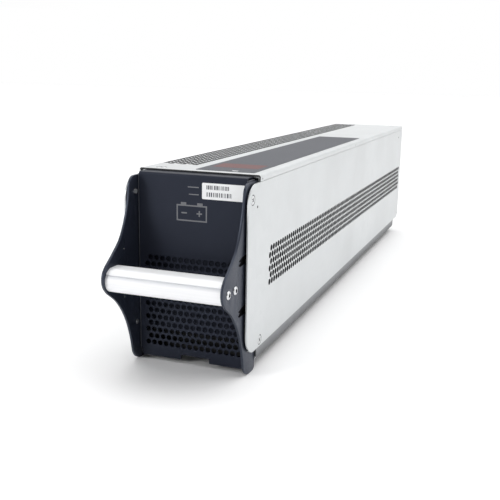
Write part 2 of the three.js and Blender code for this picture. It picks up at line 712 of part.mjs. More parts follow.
add("fuse_holder", fuseHolder(), INSULATOR);
add("fuse", rod(4.4, fuseZ1 - fuseZ0 - 9, [0, 0, 1], [fuseX, fuseY1 - 3.6, fuseZ0 + 4.5], 16), PAPER_WHITE);

// ---------------------------------------------------------------- supports and board

for (const [side, x0] of [["left", -50], ["right", 28]]) {
  const low = LAYERS[0] + BLOCK_HEIGHT + 0.1;
  const high = LAYERS[1] - 0.1;
  const outer = box(x0, x0 + 12, 12, 618, low, high);
  const groove = box(x0 + 3, x0 + 9, 11, 619, low + 3, high + 1);
  add(`layer_spacer_${side}`, cut(solid(outer), groove), INSULATOR);
}

add("base_pad", box(-48, 44, 2.6, 620, TRAY_BOTTOM + SHEET + 0.1, LAYERS[0] - 0.1), FOAM);
add("top_pad", box(-42, 38, 30, 618, LAYERS[1] + BLOCK_HEIGHT + 0.1, PANEL_TOP - 0.6), FOAM);

function endBracket() {
  const low = TRAY_BOTTOM + SHEET + GAP;
  const upright = box(-46, 10, 622, 623.5, low, 22);
  const foot = box(-46, 10, 622, 638, low, low + 1.5);
  return join(upright, foot);
}

add("end_bracket", endBracket(), ZINC);

const BOARD = [-48, 8, 650, 651.6, 86, 152];
function monitorBoard() {
  const parts = [
    box(...BOARD),
    box(-40, -28, 640, 650.5, 96, 116),
    box(-18, -4, 644, 650.5, 100, 120),
    box(-38, -10, 646, 650.5, 130, 140),
  ];
  return join(...parts);
}

add("monitor_board", monitorBoard(), BOARD_GREEN);

REAR_SCREWS.slice(0, 2).forEach(([x, z], i) => {
  const start = BOARD[3] + GAP;
  const post = solid(rod(3.4, REAR_FACE - GAP - start, [0, 1, 0], [x, start, z], 12));
  const bore = rod(1.9, 12, [0, 1, 0], [x, REAR_FACE - 8, z], 12);
  add(`board_post_${i + 1}`, cut(post, bore), ZINC);
});

// ---------------------------------------------------------------- origin at the bottom centre

const lowestY = NOSE_Y;
const part = new THREE.Group();
datum.position.set(0, -(lowestY + DEPTH) / 2, -EAR_BOTTOM);
part.add(datum);

export default part;
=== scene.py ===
import json
import math
import random

import bmesh
import bpy
from mathutils import Matrix, Vector
from mathutils.geometry import delaunay_2d_cdt


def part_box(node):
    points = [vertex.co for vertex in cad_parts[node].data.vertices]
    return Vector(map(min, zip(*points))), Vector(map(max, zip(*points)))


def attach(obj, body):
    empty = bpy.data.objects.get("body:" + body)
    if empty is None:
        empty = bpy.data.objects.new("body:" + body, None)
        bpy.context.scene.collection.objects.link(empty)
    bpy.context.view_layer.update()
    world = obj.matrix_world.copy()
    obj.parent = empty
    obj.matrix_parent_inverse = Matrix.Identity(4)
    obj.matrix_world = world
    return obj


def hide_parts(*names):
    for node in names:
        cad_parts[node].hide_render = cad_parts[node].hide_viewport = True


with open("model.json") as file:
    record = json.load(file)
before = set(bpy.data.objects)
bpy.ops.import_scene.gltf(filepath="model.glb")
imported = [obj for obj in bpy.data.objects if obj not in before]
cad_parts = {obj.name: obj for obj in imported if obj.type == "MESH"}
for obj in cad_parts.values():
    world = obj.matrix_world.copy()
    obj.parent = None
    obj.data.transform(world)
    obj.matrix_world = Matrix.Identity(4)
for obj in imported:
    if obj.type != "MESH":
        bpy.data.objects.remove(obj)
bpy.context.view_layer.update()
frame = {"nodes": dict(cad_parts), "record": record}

# Lengths below are in millimetres from the design datum: x = 0 is the middle plane, y = 0 the front
# edge of the cover and z = 0 a little above the underside of the tray. `place` turns them into the
# frame's metres. Only the studio's lengths and the texture scales are in metres to begin with.
MM = 0.001
TRAY_BOTTOM = -3.5
FRONT_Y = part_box("top_cover")[0].y
DATUM_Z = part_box("bottom_tray")[0].z - TRAY_BOTTOM * MM
MODULE = "module"
CONNECTOR = "connector"


def place(x, y, z):
    return Vector((x * MM, FRONT_Y + y * MM, DATUM_Z + z * MM))


def local_box(node):
    low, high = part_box(node)
    datum = Vector((0, FRONT_Y, DATUM_Z))
    return (low - datum) / MM, (high - datum) / MM


# ------------------------------------------------------------------ materials

class Look:
    """A small builder for one procedural material."""

    def __init__(self, name, color, roughness, metallic=0.0, specular=0.5):
        self.material = bpy.data.materials.new(name)
        self.material.use_nodes = True
        self.nodes = self.material.node_tree.nodes
        self.links = self.material.node_tree.links
        self.shader = self.nodes["Principled BSDF"]
        self.shader.inputs["Base Color"].default_value = (*color, 1)
        self.shader.inputs["Roughness"].default_value = roughness
        self.shader.inputs["Metallic"].default_value = metallic
        self.shader.inputs["Specular IOR Level"].default_value = specular
        self.place = self.nodes.new("ShaderNodeTexCoord").outputs["Object"]

    def stretched(self, scale):
        mapping = self.nodes.new("ShaderNodeMapping")
        mapping.inputs["Scale"].default_value = scale
        self.links.new(self.place, mapping.inputs["Vector"])
        return mapping.outputs["Vector"]

    def noise(self, scale, detail=3.0, stretch=(1, 1, 1), rough=0.5):
        node = self.nodes.new("ShaderNodeTexNoise")
        node.inputs["Scale"].default_value = scale
        node.inputs["Detail"].default_value = detail
        node.inputs["Roughness"].default_value = rough
        self.links.new(self.stretched(stretch), node.inputs["Vector"])
        return node.outputs["Fac"]

    def cells(self, scale, randomness=1.0):
        node = self.nodes.new("ShaderNodeTexVoronoi")
        node.inputs["Scale"].default_value = scale
        node.inputs["Randomness"].default_value = randomness
        self.links.new(self.place, node.inputs["Vector"])
        split = self.nodes.new("ShaderNodeSeparateColor")
        self.links.new(node.outputs["Color"], split.inputs["Color"])
        return split.outputs[0]

    def along(self, axis):
        split = self.nodes.new("ShaderNodeSeparateXYZ")
        self.links.new(self.place, split.inputs["Vector"])
        return split.outputs[axis]

    def combine(self, operation, a, b):
        node = self.nodes.new("ShaderNodeMath")
        node.operation = operation
        for socket, value in zip(node.inputs, (a, b)):
            if isinstance(value, (int, float)):
                socket.default_value = value
            else:
                self.links.new(value, socket)
        return node.outputs[0]

    def spread(self, value, low, high, from_low=0.3, from_high=0.7):
        """Maps a value's middle range, or the range given, to low...high."""
        node = self.nodes.new("ShaderNodeMapRange")
        node.inputs["From Min"].default_value = from_low
        node.inputs["From Max"].default_value = from_high
        node.inputs["To Min"].default_value = low
        node.inputs["To Max"].default_value = high
        self.links.new(value, node.inputs["Value"])
        return node.outputs["Result"]

    def mix(self, a, b, share):
        """Adds a share of b to a."""
        node = self.nodes.new("ShaderNodeMath")
        node.operation = "MULTIPLY_ADD"
        node.inputs[1].default_value = share
        self.links.new(b, node.inputs[0])
        self.links.new(a, node.inputs[2])
        return node.outputs[0]

    def tint(self, value, dark, light):
        ramp = self.nodes.new("ShaderNodeMix")
        ramp.data_type = "RGBA"
        ramp.inputs["A"].default_value = (*dark, 1)
        ramp.inputs["B"].default_value = (*light, 1)
        self.links.new(value, ramp.inputs["Factor"])
        self.links.new(ramp.outputs["Result"], self.shader.inputs["Base Color"])

    def roughen(self, value):
        self.links.new(value, self.shader.inputs["Roughness"])

    def bump(self, value, depth_mm, strength=1.0):
        node = self.nodes.new("ShaderNodeBump")
        node.inputs["Distance"].default_value = depth_mm * MM
        node.inputs["Strength"].default_value = strength
        self.links.new(value, node.inputs["Height"])
        self.links.new(node.outputs["Normal"], self.shader.inputs["Normal"])


# Heights above the underside of the ears, in millimetres, between which the painted shade on the
# tray's steel fades out.
TRAY_SHADE_LOW, TRAY_SHADE_HIGH = 6.5, 20
SPANGLE_SCALE, STREAK_SCALE = 110, 700
ALONG_Y = (1, 0.03, 1)


def roll_finish(look, spangle, smooth, rough):
    """Gives a sheet the crystals of its zinc and fine streaks along its length."""
    streak = look.noise(STREAK_SCALE, 2, ALONG_Y)
    look.roughen(look.spread(look.mix(spangle, streak, 0.6), smooth, rough, 0.2, 1.3))
    look.bump(look.mix(streak, spangle, 0.4), 0.012, 0.5)
    return look.material


def galvanised():
    look = Look("galvanised", (0.60, 0.61, 0.61), 0.42, metallic=0.5)
    spangle = look.cells(SPANGLE_SCALE)
    cloud = look.noise(9, 4)
    tone = look.spread(look.mix(cloud, spangle, 0.18), 0, 1)
    look.tint(tone, (0.54, 0.555, 0.56), (0.62, 0.637, 0.645))
    return roll_finish(look, spangle, 0.36, 0.50)


def tray_steel_painted_shade():
    """The same sheet, duller, and darker towards the bend at the bottom of the tray: painted shade.
    """
    look = Look("tray_steel_painted_shade", (0.40, 0.41, 0.42), 0.5, metallic=0.4)
    spangle = look.cells(SPANGLE_SCALE)
    # Painted shade: the colour darkens towards the bottom of the tray.
    height = look.spread(look.along("Z"), 0, 1, TRAY_SHADE_LOW * MM, TRAY_SHADE_HIGH * MM)
    look.tint(look.mix(height, spangle, 0.08), (0.048, 0.050, 0.056), (0.28, 0.287, 0.297))
    return roll_finish(look, spangle, 0.44, 0.56)


# A near-black finish for cut sheet edges and for the cuts in the screws' heads; in the screws'
# recesses it is painted shade.
def cut_edge_and_painted_shade():
    look = Look("cut_edge_and_painted_shade", (0.13, 0.135, 0.14), 0.6, metallic=0.3)
    burr = look.noise(900, 3)
    look.tint(look.spread(burr, 0, 1), (0.025, 0.026, 0.028), (0.085, 0.088, 0.09))
    look.bump(burr, 0.02, 0.5)
    return look.material


def navy_paint(name, dark, light, specular, sheen=0.0):
    """Fine-textured paint whose highlights lean to blue."""
    look = Look(name, light, 0.42, specular=specular)
    look.shader.inputs["Specular Tint"].default_value = (0.70, 0.79, 1.0, 1)
    look.shader.inputs["Sheen Weight"].default_value = sheen
    look.shader.inputs["Sheen Roughness"].default_value = 0.6
    look.shader.inputs["Sheen Tint"].default_value = (0.55, 0.66, 1.0, 1)
    grain = look.noise(1500, 2)
    cloud = look.noise(14, 3)
    look.tint(look.spread(cloud, 0, 1), dark, light)
    look.roughen(look.spread(grain, 0.36, 0.50))
    look.bump(grain, 0.02, 0.5)
    return look.material


# Heights above the underside of the ears, in millimetres, of the bar's groove and of the soft
# band of painted shade under it.
GROOVE_HEIGHT, PAINTED_SHADE_HEIGHT = 89.6, 86.2


def brushed_bar():
    """Aluminium brushed along its length, with painted shade just under the groove."""
    look = Look("brushed_bar", (0.88, 0.89, 0.91), 0.5, metallic=0.2)
    streak = look.noise(900, 3, (0.02, 1, 1))
    cloud = look.noise(30, 3, (0.2, 1, 1))
    height = look.along("Z")
    # Painted shade: the colour darkens upward to the groove, and stays full above it.
    band = look.spread(height, 0.96, 0.1, PAINTED_SHADE_HEIGHT * MM, GROOVE_HEIGHT * MM)
    above = look.combine("GREATER_THAN", height, GROOVE_HEIGHT * MM)
    shade = look.combine("MAXIMUM", band, above)
    fine = look.combine("MULTIPLY", look.spread(streak, 0.9, 1), shade)
    look.tint(fine, (0.50, 0.51, 0.545), (0.93, 0.935, 0.95))
    look.roughen(look.spread(look.mix(streak, cloud, 0.5), 0.44, 0.56, 0.35, 1.0))
    look.bump(streak, 0.003, 0.5)
    return look.material


def zinc_plate(name, dark, light):
    """The plating of screws and rivets."""
    look = Look(name, light, 0.34, metallic=0.8)
    cloud = look.noise(600, 3)
    look.tint(look.spread(cloud, 0, 1), dark, light)
    look.roughen(look.spread(cloud, 0.28, 0.42))
    look.bump(cloud, 0.008, 0.5)
    return look.material


def moulded(name, dark, light, roughness, grain_scale=1800, depth=0.02, specular=0.4):
    """Grained plastic, board, foam or cable jacket."""
    look = Look(name, light, roughness, specular=specular)
    grain = look.noise(grain_scale, 2)
    cloud = look.noise(20, 3)
    look.tint(look.spread(cloud, 0, 1), dark, light)
    look.roughen(look.spread(grain, roughness - 0.07, roughness + 0.07))
    look.bump(grain, depth, 0.6)
    return look.material


def contact_alloy():
    look = Look("contact_alloy", (0.78, 0.58, 0.33), 0.25, metallic=1.0)
    wipe = look.noise(500, 3, (1, 0.05, 1))
    look.tint(look.spread(wipe, 0, 1), (0.66, 0.47, 0.25), (0.84, 0.65, 0.40))
    look.roughen(look.spread(wipe, 0.2, 0.36))
    look.bump(wipe, 0.006, 0.5)
    return look.material


FILM_SHADE = 0.93


def printed_film(name, color, roughness=0.38, specular=0.3):
    look = Look(name, color, roughness, specular=specular)
    cloud = look.noise(12, 3)
    fibre = look.noise(900, 2)
    look.tint(look.spread(cloud, 0, 1), tuple(c * FILM_SHADE for c in color), color)
    look.roughen(look.spread(fibre, roughness - 0.05, roughness + 0.08))
    look.bump(fibre, 0.006, 0.4)
    return look.material


def pale_floor():
    look = Look("pale_floor", (0.93, 0.93, 0.93), 0.7, specular=0.2)
    cloud = look.noise(3, 2)
    look.tint(look.spread(cloud, 0, 1), (0.92, 0.92, 0.922), (0.94, 0.94, 0.942))
    return look.material


STEEL = galvanised()
TRAY_STEEL_PAINTED_SHADE = tray_steel_painted_shade()
# A near-white matte finish for the tray's hole walls: painted light on edges that sit in shade.
TRAY_EDGE_PAINTED_LIGHT = moulded("tray_edge_painted_light", (0.74, 0.75, 0.76), (0.86, 0.87, 0.88), 0.6, 900, 0.01)
CUT_EDGE_AND_PAINTED_SHADE = cut_edge_and_painted_shade()
PAINT = navy_paint("navy_paint", (0.0115, 0.0132, 0.021), (0.0165, 0.0187, 0.029), 0.24)
# A much lighter copy of the navy paint for the panel's side folds: a painted highlight.
FOLD_PAINT_PAINTED_HIGHLIGHT = navy_paint("navy_paint_folds_painted_highlight", (0.085, 0.088, 0.100), (0.115, 0.120, 0.135), 0.6)
# The ears' copy of the navy paint has stronger specular and a darker base colour; the darker base
# colour is painted shade.
EAR_PAINT_PAINTED_SHADE = navy_paint("navy_paint_ears_painted_shade", (0.006, 0.0075, 0.0135), (0.0095, 0.0118, 0.0195), 0.72,
                       0.02)
BAR = brushed_bar()
ZINC = zinc_plate("bright_zinc", (0.62, 0.63, 0.645), (0.74, 0.75, 0.76))
DULL_ZINC = zinc_plate("dull_zinc", (0.16, 0.165, 0.175), (0.26, 0.265, 0.28))
BLOCK = moulded("block_case", (0.028, 0.029, 0.032), (0.042, 0.043, 0.047), 0.5)
SHELL = moulded("connector_plastic", (0.075, 0.078, 0.085), (0.10, 0.105, 0.115), 0.45)
INSULATOR = moulded("insulator_sheet", (0.020, 0.022, 0.028), (0.030, 0.033, 0.041), 0.5)
BOARD = moulded("board_green", (0.02, 0.10, 0.05), (0.035, 0.15, 0.08), 0.4)
FOAM = moulded("foam_strip", (0.035, 0.035, 0.037), (0.06, 0.06, 0.062), 0.9, 900, 0.15)
CABLE_RED = moulded("cable_red", (0.36, 0.03, 0.025), (0.45, 0.045, 0.035), 0.42)
CABLE_BLACK = moulded("cable_black", (0.016, 0.016, 0.018), (0.026, 0.026, 0.028), 0.42)
ALLOY = contact_alloy()
# A near-black lining for the ears' pockets: painted shade.
POCKET_PAINTED_SHADE = moulded("pocket_painted_shade", (0.004, 0.004, 0.005), (0.007, 0.007, 0.009), 0.8,
                 specular=0.1)
WHITE_FILM = printed_film("white_film", (0.90, 0.91, 0.92))
GREY_FILM = printed_film("grey_film", (0.108, 0.113, 0.127), 0.6, 0.16)
RED_INK = printed_film("red_ink", (0.175, 0.093, 0.092), 0.6, 0.16)
DARK_INK = printed_film("dark_ink", (0.10, 0.105, 0.12), 0.4)
GREY_INK = printed_film("grey_ink", (0.16, 0.165, 0.18), 0.45)

SLOT_LOOKS = {
    "galvanised": STEEL, "dark_paint": PAINT, "aluminium_bar": BAR, "zinc_screw": ZINC,
    "block_case": BLOCK, "contact": ALLOY, "lead_red": CABLE_RED, "lead_black": CABLE_BLACK,
    "connector_plastic": SHELL, "board": BOARD, "foam": FOAM, "insulator": INSULATOR,
    "paper_label": WHITE_FILM, "grey_label": GREY_FILM,
}
NODE_SLOT = {entry["node"]: entry["material_slot"] for entry in frame["record"]["subparts"]}
CONNECTOR_NODES = frame["record"]["behaviour"]["bodies"][CONNECTOR]

# ------------------------------------------------------------------ mesh helpers

SMOOTH_BELOW = math.radians(36)
FLAT_BELOW = math.radians(1)
BEVEL_SEGMENTS = 2
SAME_POINT = 1e-6
SAME_LENGTH = 1e-9
CDT_TOLERANCE = 1e-5


def finish_mesh(name, bm, look, body=MODULE, stands_for=()):
    """Turns a bmesh into a piece that rides on a body; `look` is a material or a tuple of them."""
    bmesh.ops.recalc_face_normals(bm, faces=bm.faces)
    mesh = bpy.data.meshes.new(name)
    bm.to_mesh(mesh)
    bm.free()
    mesh.shade_smooth()
    mesh.set_sharp_from_angle(angle=SMOOTH_BELOW)
    for finish in look if isinstance(look, tuple) else (look,):
        mesh.materials.append(finish)
    piece = bpy.data.objects.new(name, mesh)
    bpy.context.scene.collection.objects.link(piece)
    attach(piece, body)
    if stands_for:
        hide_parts(*stands_for)
    return piece


def arc_points(centre, radius, start, end, count):
    steps = [start + (end - start) * i / (count - 1) for i in range(count)]
    return [(centre[0] + radius * math.cos(a), centre[1] + radius * math.sin(a)) for a in steps]


def ring(centre, radius, count=12, turn=0.0):
    step = 2 * math.pi / count
    return [(centre[0] + radius * math.cos(turn + step * i),
             centre[1] + radius * math.sin(turn + step * i)) for i in range(count)]


def rounded(corners, count=8):
    """A closed outline from (a, b, radius) corners, each round corner drawn as an arc."""
    points = []
    total = len(corners)
    for i, (a, b, radius) in enumerate(corners):
        here = Vector((a, b))
        if radius == 0:
            points.append((a, b))
            continue
        before = (Vector(corners[i - 1][:2]) - here).normalized()
        after = (Vector(corners[(i + 1) % total][:2]) - here).normalized()
        half = before.angle(after) / 2
        reach = radius / math.tan(half)
        centre = here + (before + after).normalized() * (radius / math.sin(half))
        first = here + before * reach - centre
        last = here + after * reach - centre
        swing = math.pi - 2 * half
        sign = 1 if first.x * last.y - first.y * last.x > 0 else -1
        begin = math.atan2(first.y, first.x)
        points += arc_points(centre, radius, begin, begin + sign * swing, count)
    return points


def spline(points, steps=6):
    """Points along a Catmull-Rom curve through the given ones."""
    out = [points[0]]
    for i in range(len(points) - 1):
        p0 = points[max(i - 1, 0)]
        p1, p2 = points[i], points[i + 1]
        p3 = points[min(i + 2, len(points) - 1)]
        for k in range(1, steps + 1):
            t = k / steps
            pair = []
            for axis in (0, 1):
                v0 = (p2[axis] - p0[axis]) / 2
                v1 = (p3[axis] - p1[axis]) / 2
                a = 2 * p1[axis] - 2 * p2[axis] + v0 + v1
                b = -3 * p1[axis] + 3 * p2[axis] - 2 * v0 - v1
                pair.append(a * t ** 3 + b * t ** 2 + v0 * t + p1[axis])
            out.append(tuple(pair))
    return out


class Fold:
    """The outer line of a folded sheet's section, with the outer face on the left."""

    def __init__(self, start, heading_deg):
        self.spans = []
        self.breaks = []
        self.length = 0.0
        self.point = Vector(start)
        self.heading = math.radians(heading_deg)

    @staticmethod
    def normal(heading):
        return Vector((-math.sin(heading), math.cos(heading)))

    def line(self, length):
        self.spans.append((self.length, length, self.point.copy(), self.heading, 0, 0))
        self.point += Vector((math.cos(self.heading), math.sin(self.heading))) * length
        self.length += length
        return self

    def bend(self, radius, angle_deg, facets=6):
        """A bend to the right for a positive angle, to the left for a negative one."""
        angle = math.radians(angle_deg)
        span = radius * abs(angle)
        self.spans.append((self.length, span, self.point.copy(), self.heading, radius, angle))
        self.breaks += [self.length + span * i / facets for i in range(facets + 1)]
        self.point, _ = self.locate(self.length + span)
        self.heading -= angle
        self.length += span
        return self

    def locate(self, s):
        """The point of the outer line at length s, and the outward normal there."""
        chosen = self.spans[0]
        for span in self.spans:
            if s >= span[0] - SAME_LENGTH:
                chosen = span
        begin, _, point, heading, radius, angle = chosen
        along = s - begin
        if angle == 0:
            direction = Vector((math.cos(heading), math.sin(heading)))
            return point + direction * along, self.normal(heading)
        side = 1 if angle > 0 else -1
        turned = heading - side * along / radius
        centre = point - self.normal(heading) * radius * side
        return centre + self.normal(turned) * radius * side, self.normal(turned)


def counter_clockwise(loop):
    twice_area = sum(a[0] * b[1] - b[0] * a[1] for a, b in zip(loop, loop[1:] + loop[:1]))
    return loop if twice_area > 0 else loop[::-1]


# How far the lines that break a sheet's faces at its bends run past its outline.
BREAK_MARGIN = 5


def sheet_mesh(outline, holes, fold, to_world, thickness):
    """A folded sheet as a closed mesh. Outline and holes are drawn on the flat, as (s, t) points,
    with s along the fold's section and t along its length. The walls of the holes get the second
    material."""
    coords, edges, faces = [], [], []
    for loop in [outline] + holes:
        first = len(coords)
        coords += [Vector(p) for p in counter_clockwise(loop)]
        faces.append(list(range(first, len(coords))))
    low = min(p[1] for p in outline) - BREAK_MARGIN
    high = max(p[1] for p in outline) + BREAK_MARGIN
    for s in fold.breaks:
        edges.append((len(coords), len(coords) + 1))
        coords += [Vector((s, low)), Vector((s, high))]
    flat, _, triangles, _, _, origins = delaunay_2d_cdt(coords, edges, faces, 0, CDT_TOLERANCE)
    kept = [tri for tri, origin in zip(triangles, origins) if 0 in origin and max(origin) == 0]
    bm = bmesh.new()
    front, back = {}, {}
    for index in sorted({i for tri in kept for i in tri}):
        s, t = flat[index]
        point, normal = fold.locate(s)
        inner = point - normal * thickness
        front[index] = bm.verts.new(to_world(point.x, point.y, t))
        back[index] = bm.verts.new(to_world(inner.x, inner.y, t))
    rim = {tuple(round(v, 3) for v in p) for p in outline}
    used = set()
    for tri in kept:
        bm.faces.new([front[i] for i in tri])
        bm.faces.new([back[i] for i in reversed(tri)])
        used.update((tri[i], tri[(i + 1) % 3]) for i in range(3))
    for a, b in used:
        if (b, a) not in used:
            wall = bm.faces.new((front[b], front[a], back[a], back[b]))
            if tuple(round(v, 3) for v in flat[a]) not in rim:
                wall.material_index = 1
    return bm


def across_x(sign=1):
    """World place for a section in (x, z) swept along Y."""
    return lambda a, b, t: place(sign * a, t, b)


def across_y(a, b, t):
    """World place for a section in (y, z) swept along X."""
    return place(t, a, b)


def side_on(sign):
    """World place for a shape in (y, z) on the right or the left, with its depth along X."""
    return lambda a, b, depth: place(sign * depth, a, b)


def turned(bm, profile, axis, origin, count=28):
    """Adds a closed turned body; profile holds (radius, height) from axis to axis."""
    turn = Vector((0, 0, 1)).rotation_difference(Vector(axis))
    rings = []
    for radius, height in profile:
        if radius == 0:
            rings.append([bm.verts.new(origin + turn @ Vector((0, 0, height * MM)))])
            continue
        points = [Vector((a * MM, b * MM, height * MM)) for a, b in ring((0, 0), radius, count)]
        rings.append([bm.verts.new(origin + turn @ point) for point in points])
    for lower, upper in zip(rings, rings[1:]):
        for i in range(count):
            j = (i + 1) % count
            corners = [lower[i % len(lower)], lower[j % len(lower)],
                       upper[j % len(upper)], upper[i % len(upper)]]
            unique = list(dict.fromkeys(corners))
            if len(unique) > 2:
                bm.faces.new(unique)


def prism(bm, loop, to_world, near, far):
    """Adds a straight prism; to_world(a, b, depth) places the loop at each end."""
    first = [bm.verts.new(to_world(a, b, near)) for a, b in loop]
    last = [bm.verts.new(to_world(a, b, far)) for a, b in loop]
    bm.faces.new(first)
    bm.faces.new(list(reversed(last)))
    count = len(loop)
    for i in range(count):
        j = (i + 1) % count
        bm.faces.new((first[j], first[i], last[i], last[j]))


def carve(piece, cutters, finish):
    """Cuts the meshes that `cutters` builds out of a piece, for good; `finish` lines the cut."""
    bm = bmesh.new()
    cutters(bm)
    bmesh.ops.recalc_face_normals(bm, faces=bm.faces)
    mesh = bpy.data.meshes.new("cutter")
    bm.to_mesh(mesh)
    bm.free()
    mesh.materials.append(finish)
    tool = bpy.data.objects.new("cutter", mesh)
    bpy.context.scene.collection.objects.link(tool)
    modifier = piece.modifiers.new("cut", "BOOLEAN")
    modifier.operation = "DIFFERENCE"
    modifier.solver = "EXACT"
    modifier.use_self = True
    modifier.material_mode = "TRANSFER"
    modifier.object = tool
    settle(piece)
    bpy.data.objects.remove(tool)
    bpy.data.meshes.remove(mesh)


def settle(piece):
    """Applies every modifier of a piece to its mesh."""
    graph = bpy.context.evaluated_depsgraph_get()
    graph.update()
    new = bpy.data.meshes.new_from_object(piece.evaluated_get(graph))
    old = piece.data
    piece.modifiers.clear()
    piece.data = new
    new.name = piece.name
    bpy.data.meshes.remove(old)
    new.shade_smooth()
    new.set_sharp_from_angle(angle=SMOOTH_BELOW)


def soften(piece, width_mm):
    """Rounds the piece's sharp edges."""
    bm = bmesh.new()
    bm.from_mesh(piece.data)
    bmesh.ops.dissolve_limit(bm, angle_limit=FLAT_BELOW, verts=bm.verts, edges=bm.edges)
    bm.to_mesh(piece.data)
    bm.free()
    bevel = piece.modifiers.new("edges", "BEVEL")
    bevel.width = width_mm * MM
    bevel.segments = BEVEL_SEGMENTS
    bevel.limit_method = "ANGLE"
    bevel.angle_limit = SMOOTH_BELOW
    settle(piece)


def refined(node, width_mm, look=None):
    """Adds a copy of a CAD node with rounded edges, which stands for it."""
    source = frame["nodes"][node]
    bm = bmesh.new()
    bm.from_mesh(source.data)
    bmesh.ops.remove_doubles(bm, verts=bm.verts, dist=SAME_POINT)
    slot = NODE_SLOT[node]
    body = CONNECTOR if node in CONNECTOR_NODES else MODULE
    piece = finish_mesh(node + "_fine", bm, look or SLOT_LOOKS[slot], body, (node,))
    soften(piece, width_mm)


# ------------------------------------------------------------------ sheet-metal case

SIDES = (("right", 1), ("left", -1))
SHEET = 1.2
SIDE_X = 56
SIDE_HOLE, TOP_HOLE = 2.85, 3.0
PITCH = 6.5
ROW = 6.05
SIDE_BAND_START, SIDE_BAND_COLUMNS = 28.3, 100
TOP_BAND_START, TOP_BAND_COLUMNS = 40.4, 98
BAND_ROWS = 6
HEAD_HOLE = 4.5
HOLE_STEPS = 32
SHANK_HOLE, SHANK_STEPS = 2.4, 16
# The side screws, as (y, z).
UPPER_SCREW = (-17.3, 141.8)
LOWER_SCREW = (5.4, 16.1)


def vent_band(first_row, radius, start, columns):
    """Ring outlines of a staggered band; its columns run along the length from start."""
    rings = []
    for row in range(BAND_ROWS):
        offset = 0 if row % 2 else PITCH / 2
        for column in range(columns):
            rings.append(ring((first_row + ROW * row, start + offset + PITCH * column), radius))
    return rings


SIDE_TOP, SIDE_BOTTOM, SIDE_FRONT, SIDE_REAR = 154.3, 10.4, -27.5, 690
SIDE_CORNER, SIDE_REAR_CORNER = 18, 8
SHARP_CORNER = 0.8
SIDE_BAND_FIRST = 92.6
# Small holes, as (y, z, radius).
SIDE_PINHOLES = ((-6.2, 134.7, 1.1), (658, 143.8, 1.2), (682, 17, 1.2))
LIP_START, LIP_FLAT, LIP_BEND, LIP_DROP, LIP_FRONT = (44, 158.4), 8.6, 2, 8, 2


def side_plate(side, sign):
    fold = Fold((SIDE_X, SIDE_TOP), -90).line(SIDE_TOP - SIDE_BOTTOM)
    corners = [(SIDE_TOP, SIDE_FRONT, SIDE_CORNER), (SIDE_TOP, SIDE_REAR, SHARP_CORNER),
               (SIDE_BOTTOM, SIDE_REAR, SIDE_REAR_CORNER), (SIDE_BOTTOM, SIDE_FRONT, SIDE_CORNER)]
    outline = [(SIDE_TOP - z, y) for z, y in rounded(corners, 12)]
    holes = vent_band(SIDE_TOP - SIDE_BAND_FIRST, SIDE_HOLE, SIDE_BAND_START, SIDE_BAND_COLUMNS)
    holes += [ring((SIDE_TOP - z, y), HEAD_HOLE, HOLE_STEPS) for y, z in (UPPER_SCREW, LOWER_SCREW)]
    holes += [ring((SIDE_TOP - z, y), radius, 14) for y, z, radius in SIDE_PINHOLES]
    bm = sheet_mesh(outline, holes, fold, across_x(sign), SHEET)
    finish_mesh(f"side_plate_{side}_perforated", bm, (STEEL, CUT_EDGE_AND_PAINTED_SHADE),
                stands_for=(f"side_plate_{side}",))


def side_lip(side, sign):
    """A bent strip along the inside of the case's upper edge, under the cover's skirt."""
    lip = Fold(LIP_START, 0).line(LIP_FLAT).bend(LIP_BEND, 90).line(LIP_DROP)
    strip = [(0, LIP_FRONT), (lip.length, LIP_FRONT), (lip.length, SIDE_REAR), (0, SIDE_REAR)]
    bm = sheet_mesh(strip, [], lip, across_x(sign), SHEET)
    finish_mesh(f"side_lip_{side}", bm, (STEEL, STEEL))


for side, sign in SIDES:
    side_plate(side, sign)
    side_lip(side, sign)

HEIGHT = 160
COVER_BOTTOM = 154.6
COVER_BEND = 2
# The cover screws, as (x, y).
COVER_SCREWS = ((-40, 10.4), (-38, 681), (38, 681))
COVER_BAND_FIRST = -51.3
SKIRT_PINHOLES, SKIRT_PINHOLE_RISE, SKIRT_PINHOLE_RADIUS = (5, 345, 684), 2.0, 0.8


def top_cover():
    rise = HEIGHT - COVER_BEND - COVER_BOTTOM
    fold = Fold((-SIDE_X, COVER_BOTTOM), 90).line(rise).bend(COVER_BEND, 90, 8)
    flat_start = fold.length
    fold.line(2 * (SIDE_X - COVER_BEND)).bend(COVER_BEND, 90, 8).line(rise)

    def s_of(x):
        return flat_start + x + SIDE_X - COVER_BEND

    corners = [(0, 0, SHARP_CORNER), (fold.length, 0, SHARP_CORNER),
               (fold.length, SIDE_REAR, SHARP_CORNER), (0, SIDE_REAR, SHARP_CORNER)]
    holes = vent_band(s_of(COVER_BAND_FIRST), TOP_HOLE, TOP_BAND_START, TOP_BAND_COLUMNS)
    holes += [ring((s_of(x), y), HEAD_HOLE, HOLE_STEPS) for x, y in COVER_SCREWS]
    row = fold.length - SKIRT_PINHOLE_RISE
    holes += [ring((row, y), SKIRT_PINHOLE_RADIUS) for y in SKIRT_PINHOLES]
    bm = sheet_mesh(rounded(corners, 4), holes, fold, across_x(), SHEET)
    finish_mesh("top_cover_perforated", bm, (STEEL, CUT_EDGE_AND_PAINTED_SHADE),
                stands_for=("top_cover",))


top_cover()

TRAY_X, TRAY_WALL, TRAY_BEND = 54.6, 48, 5
TRAY_FRONT, TRAY_REAR, TRAY_CORNER = 1.2, 655.6, 2
TRAY_HOLE = 2.5


